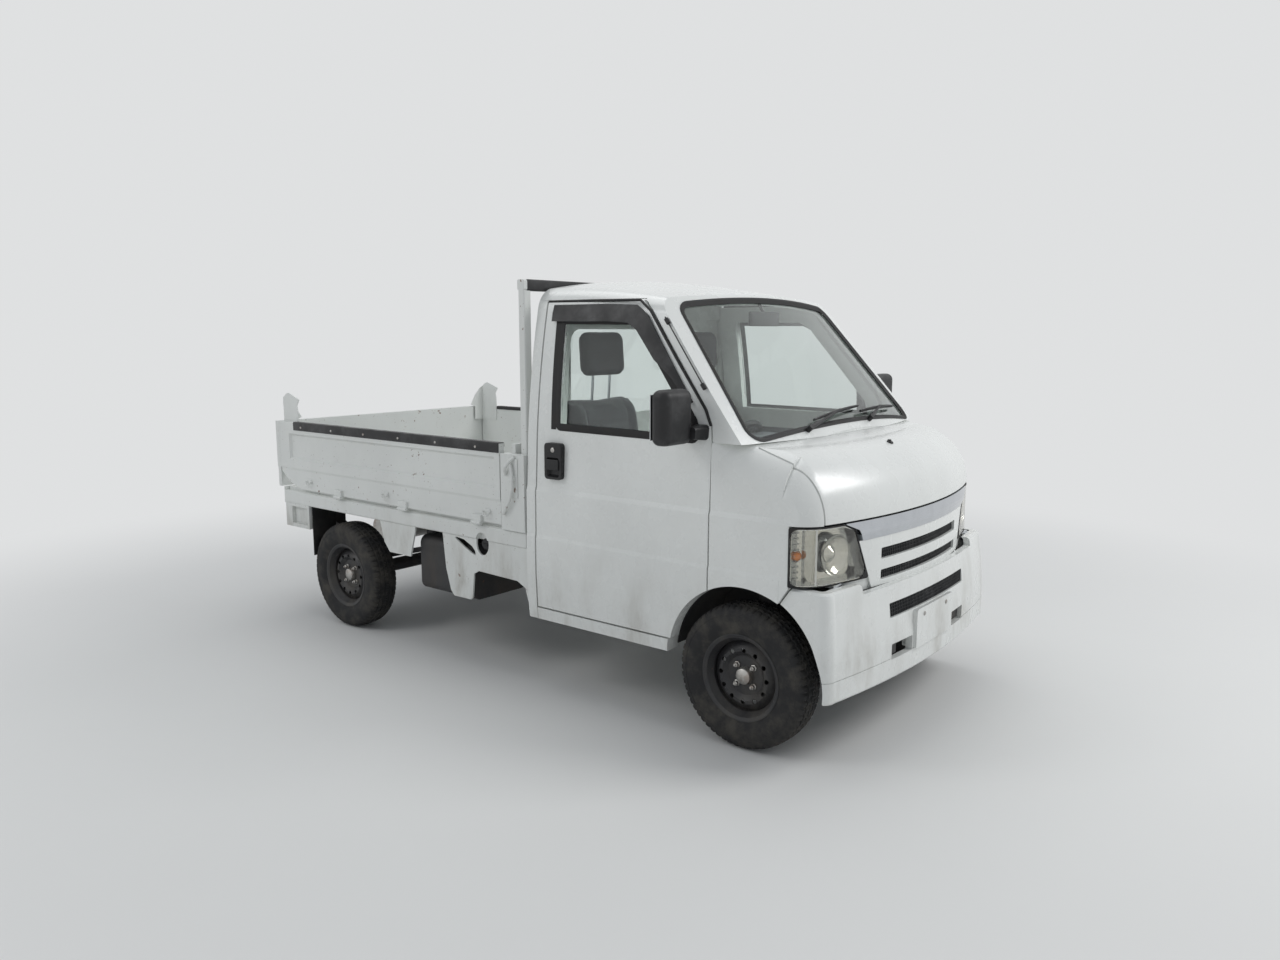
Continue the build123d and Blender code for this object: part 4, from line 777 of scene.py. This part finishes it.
# Wipers: pivot, spring box, arm, blade holder and rubber
BLADE_PROUD = 0.0095
RUBBER_PROUD = 0.006
HOLDER_ARCH = 0.010
WIPERS = [
    # name, pivot x, blade start x, blade end x, blade climb at its start and end
    ("right", -0.340, -0.270, 0.120, 0.030, 0.062),
    ("left", 0.150, 0.110, 0.500, 0.036, 0.058),
]
for wiper_name, pivot_x, start_x, end_x, start_climb, end_climb in WIPERS:
    wiper = Build()
    pivot = on_screen(pivot_x, -0.004, 0.014)
    hold = on_screen((start_x + end_x) / 2, (start_climb + end_climb) / 2, 0.022)
    wiper.tube([pivot - SCREEN_OUT * 0.016, pivot + SCREEN_OUT * 0.010], 0.011, 16)
    wiper.tube([pivot, pivot.lerp(hold, 0.35)], 0.0085, 10)
    wiper.tube([pivot.lerp(hold, 0.33), hold], 0.0055, 10)
    holder, rubber_line = [], []
    for k in range(11):
        t = k / 10
        blade = (start_x + (end_x - start_x) * t, start_climb + (end_climb - start_climb) * t)
        holder.append(on_screen(*blade, BLADE_PROUD + HOLDER_ARCH * (1 - (2 * t - 1) ** 2)))
        rubber_line.append(on_screen(*blade, RUBBER_PROUD))
    wiper.tube(holder, 0.0042, 8)
    wiper.tube(rubber_line, 0.0045, 6)
    made = wiper.make(f"wiper_{wiper_name}", "root", BLACK, "black_plastic")
    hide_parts("wipers")

# Washer jet on the hood
hood_mesh = NODES["hood"].data
hood_faces = [tuple(face.vertices) for face in hood_mesh.polygons]
hood_skin = BVHTree.FromPolygons([v.co for v in hood_mesh.vertices], hood_faces)
jet_place = hood_skin.ray_cast(Vector((-0.035, -1.499, 1.5)), Vector((0, 0, -1)))[0]
jet = Build()
jet.turned([(-0.002, 0.013), (0.003, 0.013), (0.006, 0.010), (0.007, 0.004)], jet_place, (0, -0.35, 1), 20)
jet.box(jet_place + Vector((-0.006, -0.004, 0.003)), jet_place + Vector((0.006, 0.009, 0.012)), 0.003, 3)
jet.make("washer_jet", "hood", BLACK, "black_plastic")

# Mirror glass, and the pull and lock of each door
HALF_WIDTH = 0.7375
mirror_face = Build()
mirror_face.box((-0.905, -1.0015, 1.136), (-0.759, -0.9985, 1.296), 0.0012)
both_sides(mirror_face, "mirror_glass", "door", MIRROR_GLASS, "black_plastic")
pull = Build()
pull.box((-HALF_WIDTH - 0.0125, -0.404, 0.958), (-HALF_WIDTH + 0.0015, -0.336, 1.002), 0.005, 3)
both_sides(pull, "door_pull", "door", BLACK, "black_plastic")
lock = Build()
lock_place = (-HALF_WIDTH - 0.003, -0.369, 1.040)
lock.turned([(0.0, 0.010), (0.0035, 0.010), (0.0045, 0.0085)], lock_place, (-1, 0, 0), 24)
both_sides(lock, "door_lock", "door", STEEL, "black_plastic")

# Fronts of the nose and of the bumper, as bows in plan
NOSE_BOW = 2.230
NOSE_BOW_MIDDLE = 0.578
NOSE_CORNER = 0.140
NOSE_BOW_END = math.asin(0.591 / (NOSE_BOW - NOSE_CORNER))
BUMPER_FRONT = -1.6895
BUMPER_BOW = 4.05


def nose_y(x, back):
    return NOSE_BOW_MIDDLE - math.sqrt(NOSE_BOW ** 2 - x ** 2) + back


def bumper_y(x, back):
    return BUMPER_FRONT + x ** 2 / (2 * BUMPER_BOW) + back


def nose_point(turn, radius, middle):
    """A point of an arc in plan on the right side, at an angle off straight ahead."""
    return middle + Vector((-math.sin(turn), -math.cos(turn), 0)) * radius


def on_nose(run, z, proud):
    """A point on the right of the nose wall: the way round from its middle, the height, and how proud."""
    bow_middle = Vector((0, NOSE_BOW_MIDDLE, z))
    past = run - NOSE_BOW_END * NOSE_BOW
    if past <= 0:
        return nose_point(run / NOSE_BOW, NOSE_BOW + proud, bow_middle)
    corner_middle = nose_point(NOSE_BOW_END, NOSE_BOW - NOSE_CORNER, bow_middle)
    return nose_point(NOSE_BOW_END + past / NOSE_CORNER, NOSE_CORNER + proud, corner_middle)


# Dark netting behind the slots of the grille and the bumper, on a dark sheet of painted shade that closes the
# view into the nose
NET_HALF = 0.343
NET_PITCH = 0.0125
NET_STEPS = 24
SHADE_SHEET_MARGIN = 0.012
NETS = [
    # name, front line, how far behind it, bottom z, top z
    ("grille_low", nose_y, 0.012, 0.627, 0.661),
    ("grille_high", nose_y, 0.012, 0.703, 0.742),
    ("bumper_wide", bumper_y, 0.014, 0.489, 0.541),
]


def spread(half, count):
    """Places from minus half to half, a count of steps apart."""
    return [-half + 2 * half * k / count for k in range(count + 1)]


for net_name, front, back, low, high in NETS:
    net = Build()
    for x in spread(NET_HALF, round(2 * NET_HALF / NET_PITCH)):
        y = front(x, back)
        net.box((x - 0.0014, y, low), (x + 0.0014, y + 0.005, high))
    levels = max(3, round((high - low) / NET_PITCH))
    for k in range(levels + 1):
        z = low + (high - low) * k / levels
        net.tube([(x, front(x, back + 0.003), z) for x in spread(NET_HALF, NET_STEPS)], 0.0018, 4)
    foot, head = low - SHADE_SHEET_MARGIN, high + SHADE_SHEET_MARGIN
    # Dark sheet behind the netting: painted shade standing in for the shadow behind the slots
    shade_sheet = []
    for x in spread(NET_HALF + 0.01, NET_STEPS):
        y = front(x, back + 0.022)
        shade_sheet.append([(x, y, foot), (x, y + 0.002, foot), (x, y + 0.002, head), (x, y, head)])
    net.strip(shade_sheet)
    net.make(f"net_{net_name}", "root", DARK_MESH_AND_SHADE, "black_plastic", 30.0)

# Blank number panel: two bolts
BOLT = [(0.0, 0.0085), (0.0020, 0.0085), (0.0035, 0.0060), (0.0038, 0.003)]
bolts = Build()
for bolt_x in (-0.105, 0.105):
    bolts.turned(BOLT, (bolt_x, -1.6972, 0.458), (0, -1, 0), 24)
bolts.make("panel_bolts", "root", STEEL, "bare_steel")

# Rubber round the head lamp lenses, with rounder corners than the lens itself
LENS_CORNERS = [(0.4251, 0.649), (0.7834, 0.649), (0.7834, 0.853), (0.5599, 0.853), (0.5047, 0.830)]


def lens_line(radius, distance):
    """The lens outline as (run, height), with every run between its points divided alike."""
    points = inward(rounded_outline(LENS_CORNERS, radius), distance)
    result = []
    for a, b in zip(points, points[1:] + points[:1]):
        result.extend(a.lerp(b, k / 6) for k in range(6))
    return result


lens_seal = Build()
lens_edges = (lens_line(0.004, -0.0026), lens_line(0.034, 0.0020))
lens_section = [(0, -0.006), (0, 0.0006), (1, 0.0016), (1, 0.0002)]
lens_seal.strip(moulding(on_nose, lens_edges, lens_section), closed=True)
both_sides(lens_seal, "lens_seal", "root", SEAL, "black_plastic", 50.0)

# Painted panel behind the gap between lamp, grille and bumper
CORNER_RUNS = [0.350 + 0.205 * k / 8 for k in range(9)]
corner_panel = Build()
corner_edges = [[(run, z) for run in CORNER_RUNS] for z in (0.602, 0.6475)]
corner_panel.strip(moulding(on_nose, corner_edges, [(0, -0.010), (0, -0.013), (1, -0.013), (1, -0.010)]))
both_sides(corner_panel, "lamp_corner", "root", PAINT, "body_paint")

# Head lamps: a bright bowl with its bulb cap, an amber bulb in the outer pocket, and fluting beside it
LAMP_AIM = Vector((-0.20, -0.98, 0)).normalized()
LAMP_PLACE = Vector((-0.582, -1.5365, 0.752))
BOWL = [(0.0, 0.030), (0.006, 0.044), (0.014, 0.058), (0.024, 0.070), (0.0265, 0.0715), (0.024, 0.0725),
        (0.010, 0.058), (-0.002, 0.032)]
BULB_CAP = [(0.002, 0.031), (0.004, 0.026), (0.012, 0.018), (0.020, 0.010), (0.023, 0.002)]
TURN_BULB = [(0.0, 0.015), (0.010, 0.0165), (0.020, 0.012), (0.024, 0.003)]
bowl = Build()
bowl.turned(BOWL, LAMP_PLACE, LAMP_AIM, 48, closed=True)
bowl.turned(BULB_CAP, LAMP_PLACE, LAMP_AIM)
both_sides(bowl, "lamp_bowl", "root", CHROME, "chrome_trim", 50.0)
amber = Build()
amber.turned(TURN_BULB, (-0.684, -1.468, 0.752), (-0.75, -0.66, 0), 24)
both_sides(amber, "turn_bulb", "root", AMBER_LENS, "lamp_lens", 50.0)
fluting = Build()
for k in range(9):
    z = 0.672 + 0.020 * k
    fluting.box((-0.709, -1.4765, z), (-0.684, -1.4715, z + 0.003))
both_sides(fluting, "lamp_fluting", "root", CHROME, "chrome_trim", 50.0)

# Tail lamps: amber and clear fields over the red
TAIL_FIELDS = [
    # name, inner x, outer x, finish
    ("amber", 0.654, 0.697, AMBER_LENS),
    ("clear", 0.571, 0.607, CLEAR_LENS),
]
for field_name, near, far, finish in TAIL_FIELDS:
    field = Build()
    field.box((-far, 1.6735, 0.496), (-near, 1.6755, 0.586), 0.0008)
    both_sides(field, f"tail_{field_name}", "root", finish, "tail_lens")

# Side gates: black rails over the top with their screws, and the hooks and hinges below
GATE_TOP = 1.043
RAIL_ENDS = (-0.046, 1.520)
RAIL_SECTION = [
    # in from the side of the gate, up from its top
    (-0.0025, -0.040),
    (-0.0035, -0.004),
    (0.0, 0.0035),
    (0.030, 0.0035),
    (0.0335, -0.002),
    (0.0335, -0.016),
    (0.0301, -0.016),
    (0.0301, 0.0001),
    (-0.0001, 0.0001),
    (-0.0001, -0.040),
]
RAIL_SCREW = [(0.0, 0.006), (0.0018, 0.0052), (0.0024, 0.002)]
HOOK_LINE = [
    # out from the foot, along the gate, up
    (0.0, -0.018, 0.0),
    (0.012, -0.020, -0.004),
    (0.015, -0.010, -0.020),
    (0.015, 0.010, -0.020),
    (0.012, 0.020, -0.004),
    (0.0, 0.018, 0.0),
]
HINGE_AXIS_Z = 0.685
HINGE_RADIUS = 0.008
HINGE_LEAF_Z = (0.690, 0.722)
rail = Build()
rail.strip([[(-HALF_WIDTH + inner, y, GATE_TOP + up) for inner, up in RAIL_SECTION] for y in RAIL_ENDS])
both_sides(rail, "gate_rail_gate", "gate", BLACK, "black_plastic", 40.0)
screws = Build()
for k in range(6):
    screws.turned(RAIL_SCREW, (-HALF_WIDTH - 0.0030, 0.10 + 0.27 * k, 1.020), (-1, 0, 0), 12)
both_sides(screws, "gate_rail_screws_gate", "gate", STEEL, "bare_steel", 40.0)
hooks = Build()
for y in (0.037, 0.756, 1.400):
    x, z = -HALF_WIDTH + 0.004, 0.742
    hooks.box((x - 0.004, y - 0.020, z - 0.010), (x + 0.0015, y + 0.020, z + 0.010), 0.002)
    hooks.tube([(x - out, y + along, z + up) for out, along, up in HOOK_LINE], 0.0035, 8)
for y in (0.10, 0.62, 1.14):
    low, high = HINGE_LEAF_Z
    hooks.tube([(-0.745, y - 0.030, HINGE_AXIS_Z), (-0.745, y + 0.030, HINGE_AXIS_Z)], HINGE_RADIUS, 16)
    hooks.box((-0.7455, y - 0.030, low), (-0.7305, y + 0.030, high), 0.003)
both_sides(hooks, "gate_hooks_gate", "gate", BED_PAINT, "bed_paint", 40.0)

# Hinges and end latches of the tailgate
tail_fittings = Build()
for x in (-0.50, 0.0, 0.50):
    low, high = HINGE_LEAF_Z
    tail_fittings.tube([(x - 0.035, 1.703, HINGE_AXIS_Z), (x + 0.035, 1.703, HINGE_AXIS_Z)], HINGE_RADIUS, 16)
    tail_fittings.box((x - 0.035, 1.6905, low), (x + 0.035, 1.7035, high), 0.003)
for x in (-0.69, 0.69):
    tail_fittings.box((x - 0.020, 1.695, 0.900), (x + 0.020, 1.703, 0.990), 0.004)
    tail_fittings.tube([(x, 1.700, 0.975), (x, 1.7075, 0.950), (x, 1.7075, 0.880)], 0.006, 10)
tail_fittings.make("tailgate_fittings", "tailgate", BED_PAINT, "bed_paint")

# Front latches of the side gates, on the fixed corner posts
LATCH_X = -HALF_WIDTH - 0.003
LATCH_BAIL = [
    # out from the post, y, z
    (0.0, -0.142, 0.992),
    (0.014, -0.130, 0.978),
    (0.019, -0.112, 0.958),
    (0.017, -0.098, 0.938),
    (0.004, -0.092, 0.915),
]
LATCH_LEVER = [
    # out from the post, y, z
    (0.012, -0.130, 0.962),
    (0.015, -0.142, 0.915),
    (0.015, -0.142, 0.862),
    (0.013, -0.122, 0.808),
    (0.011, -0.094, 0.766),
    (0.004, -0.074, 0.742),
]
latch = Build()
latch.box((LATCH_X - 0.002, -0.160, 0.820), (LATCH_X + 0.003, -0.100, 0.985), 0.002)
latch.tube([(LATCH_X - out, y, z) for out, y, z in LATCH_BAIL], 0.0075)
latch.tube([(LATCH_X - out, y, z) for out, y, z in LATCH_LEVER], 0.0068)
latch.turned([(0.0, 0.016), (0.012, 0.015), (0.017, 0.009)], (LATCH_X, -0.132, 0.902), (-1, 0, 0), 20)
both_sides(latch, "front_latch", "root", BED_PAINT, "bed_paint", 40.0)

# Black sleeve on the top bar of the guard hoop
sleeve = Build()
sleeve.box((-0.690, -0.1868, 1.6812), (0.690, -0.1432, 1.7282), 0.008, 3)
sleeve.make("guard_sleeve", "root", BLACK, "black_plastic")

# Filler cap with its neck, and mud flaps behind the rear wheels
FILLER = (-0.694, 0.084, 0.582)
filler = Build()
filler.turned([(0.0, 0.026), (0.010, 0.026), (0.014, 0.022), (0.0145, 0.016)], FILLER, (-1, 0, 0))
filler.box((-0.7140, 0.066, 0.578), (-0.7075, 0.102, 0.586), 0.003)
filler.tube([FILLER, (-0.620, 0.130, 0.560), (-0.560, 0.215, 0.520)], 0.020)
filler.make("filler_cap", "root", BLACK, "black_plastic")
flap = Build()
flap.box((-0.716, 1.4195, 0.340), (-0.575, 1.4235, 0.606), 0.0015)
both_sides(flap, "mud_flap", "root", SEAL, "tyre_rubber")

# Door cards with an arm rest and a window winder
WINDER = (-0.657, -0.700, 0.700)
card = Build()
card.box((-0.668, -0.940, 0.470), (-0.6565, -0.300, 1.040), 0.005)
card.box((-0.660, -0.760, 0.820), (-0.625, -0.440, 0.860), 0.012, 3)
card.turned([(0.0, 0.014), (0.010, 0.012), (0.018, 0.008)], WINDER, (1, 0, 0), 16)
card.tube([(-0.642, -0.700, 0.700), (-0.632, -0.660, 0.745), (-0.622, -0.652, 0.752)], 0.007, 10)
both_sides(card, "door_card", "door", INTERIOR, "interior_plastic")

# Painted side panels of the seat bases
seat_sides = Build()
for low_x, high_x in ((-0.6496, -0.6466), (0.6466, 0.6496)):
    seat_sides.box((low_x, -0.659, 0.426), (high_x, -0.257, 0.5838))
seat_sides.make("seat_base_sides", "root", PAINT, "body_paint")

# Dashboard: instrument hood, radio and glove box panels, vents with slats, and the instruments' face
VENTS = (-0.600, -0.170, 0.170, 0.600)
panel = Build()
panel.box((-0.500, -1.120, 1.052), (-0.220, -1.030, 1.118), 0.020, 4)
panel.box((-0.120, -1.0535, 0.930), (0.120, -1.0405, 1.000), 0.004)
panel.box((0.200, -1.0600, 0.860), (0.580, -1.0440, 0.980), 0.006)
for x in VENTS:
    panel.box((x - 0.042, -1.0560, 0.992), (x + 0.042, -1.0400, 1.040), 0.005)
panel.make("dash_panels", "root", INTERIOR, "interior_plastic")
slats = Build()
for x in VENTS:
    for k in range(4):
        low = 0.999 + 0.010 * k
        slats.box((x - 0.036, -1.0420, low), (x + 0.036, -1.0375, low + 0.003))
slats.box((-0.480, -1.0325, 1.064), (-0.240, -1.0285, 1.108), 0.001)
slats.make("vent_slats", "root", BLACK, "black_plastic")

# Gear lever with its knob and boot, and the hand brake
LEVER_FOOT = (-0.030, -0.780, 0.432)
KNOB = [(0.0, 0.016), (0.010, 0.022), (0.028, 0.023), (0.040, 0.014), (0.043, 0.004)]
BOOT = [(0.0, 0.062), (0.020, 0.048), (0.060, 0.020), (0.085, 0.010)]
controls = Build()
controls.tube([LEVER_FOOT, (-0.034, -0.800, 0.560), (-0.040, -0.830, 0.700)], 0.007, 10)
controls.turned(KNOB, (-0.040, -0.830, 0.695), (-0.02, -0.1, 1), 20)
controls.turned(BOOT, LEVER_FOOT, (0, -0.1, 1), 20)
controls.tube([(-0.080, -0.640, 0.640), (-0.080, -0.760, 0.690), (-0.080, -0.800, 0.702)], 0.012)
controls.make("gear_and_brake_levers", "root", BLACK, "black_plastic")

# Inside mirror behind the top of the windscreen
inside_mirror = Build()
inside_mirror.box((-0.110, -0.905, 1.535), (0.110, -0.885, 1.595), 0.008, 3)
inside_mirror.tube([(0, -0.895, 1.585), (0, -0.868, 1.628)], 0.007, 10)
inside_mirror.make("inside_mirror", "root", BLACK, "black_plastic")

# Camera at the photograph's place, lens and angle
CAMERA_PLACE = (-3.573, -3.108, 1.512)
CAMERA_YAW = math.radians(51.10)
CAMERA_PITCH = math.radians(8.61)
camera_data = bpy.data.cameras.new("camera")
camera_data.sensor_width = 36.0
camera_data.lens = 27.44
camera = bpy.data.objects.new("camera", camera_data)
COLLECTION.objects.link(camera)
camera.location = CAMERA_PLACE
level = math.cos(CAMERA_PITCH)
look = Vector((math.sin(CAMERA_YAW) * level, math.cos(CAMERA_YAW) * level, -math.sin(CAMERA_PITCH)))
camera.rotation_euler = look.to_track_quat("-Z", "Y").to_euler()
bpy.context.scene.camera = camera

# Floor, which fades into the backdrop far from the truck
BACKDROP = (0.74, 0.75, 0.755)
FLOOR_COLOUR = (0.78, 0.78, 0.76)
FLOOR_HALF = 60
FADE_START = 1.9
FADE_END = 5.2
corners = [(x * FLOOR_HALF, y * FLOOR_HALF, 0) for x, y in ((-1, -1), (1, -1), (1, 1), (-1, 1))]
floor_mesh = bpy.data.meshes.new("floor")
floor_mesh.from_pydata(corners, [], [(0, 1, 2, 3)])
floor = bpy.data.objects.new("floor", floor_mesh)
COLLECTION.objects.link(floor)
ground = Shader("floor", Roughness=0.9)
ground.colour(ground.mix(ground.noise(1.2, 4.0), FLOOR_COLOUR, shade(FLOOR_COLOUR, 0.97)))
distance = ground.node("VectorMath", Vector=ground.place)
distance.operation = "LENGTH"
fade = ground.span(distance.outputs["Value"], FADE_START, FADE_END)
far_floor = ground.node("Emission", Color=BACKDROP)
ground.show(ground.either(fade, ground.surface.outputs[0], far_floor.outputs[0]))
floor_mesh.materials.append(ground.material)

# World: a pale sky that lights the truck, and the plain backdrop that is seen, mirrored and looked through
SKY_COLOUR = (0.88, 0.93, 1.0)
SKY_STRENGTH = 0.42
world = bpy.data.worlds.new("world")
bpy.context.scene.world = world
air = Nodes(world)
sky = air.node("Background", Color=SKY_COLOUR, Strength=SKY_STRENGTH)
backdrop = air.node("Background", Color=BACKDROP, Strength=1.0)
rays = air.node("LightPath").outputs
passed = air.math("MAXIMUM", rays["Is Glossy Ray"], rays["Is Transmission Ray"])
seen = air.math("MAXIMUM", rays["Is Camera Ray"], passed)
air.feed(air.node("OutputWorld").inputs[0], air.either(seen, sky.outputs[0], backdrop.outputs[0]))

# Soft boxes
LAMPS = [
    # name, place, aim, size, watts
    ("key", (2.4, -5.0, 4.6), (0.0, -0.6, 0.8), 2.6, 150.0),
    ("side", (-4.6, 2.6, 4.4), (0.0, 0.2, 0.7), 2.2, 52.0),
    ("top", (0.4, 1.0, 5.5), (0.0, 0.3, 0.6), 4.0, 72.0),
]
for lamp_name, place, aim, size, watts in LAMPS:
    lamp_data = bpy.data.lights.new(lamp_name, "AREA")
    lamp_data.size = size
    lamp_data.energy = watts
    lamp = bpy.data.objects.new(lamp_name, lamp_data)
    lamp.location = place
    lamp.rotation_euler = (Vector(aim) - Vector(place)).to_track_quat("-Z", "Y").to_euler()
    COLLECTION.objects.link(lamp)

bpy.context.scene.view_settings.view_transform = "Standard"
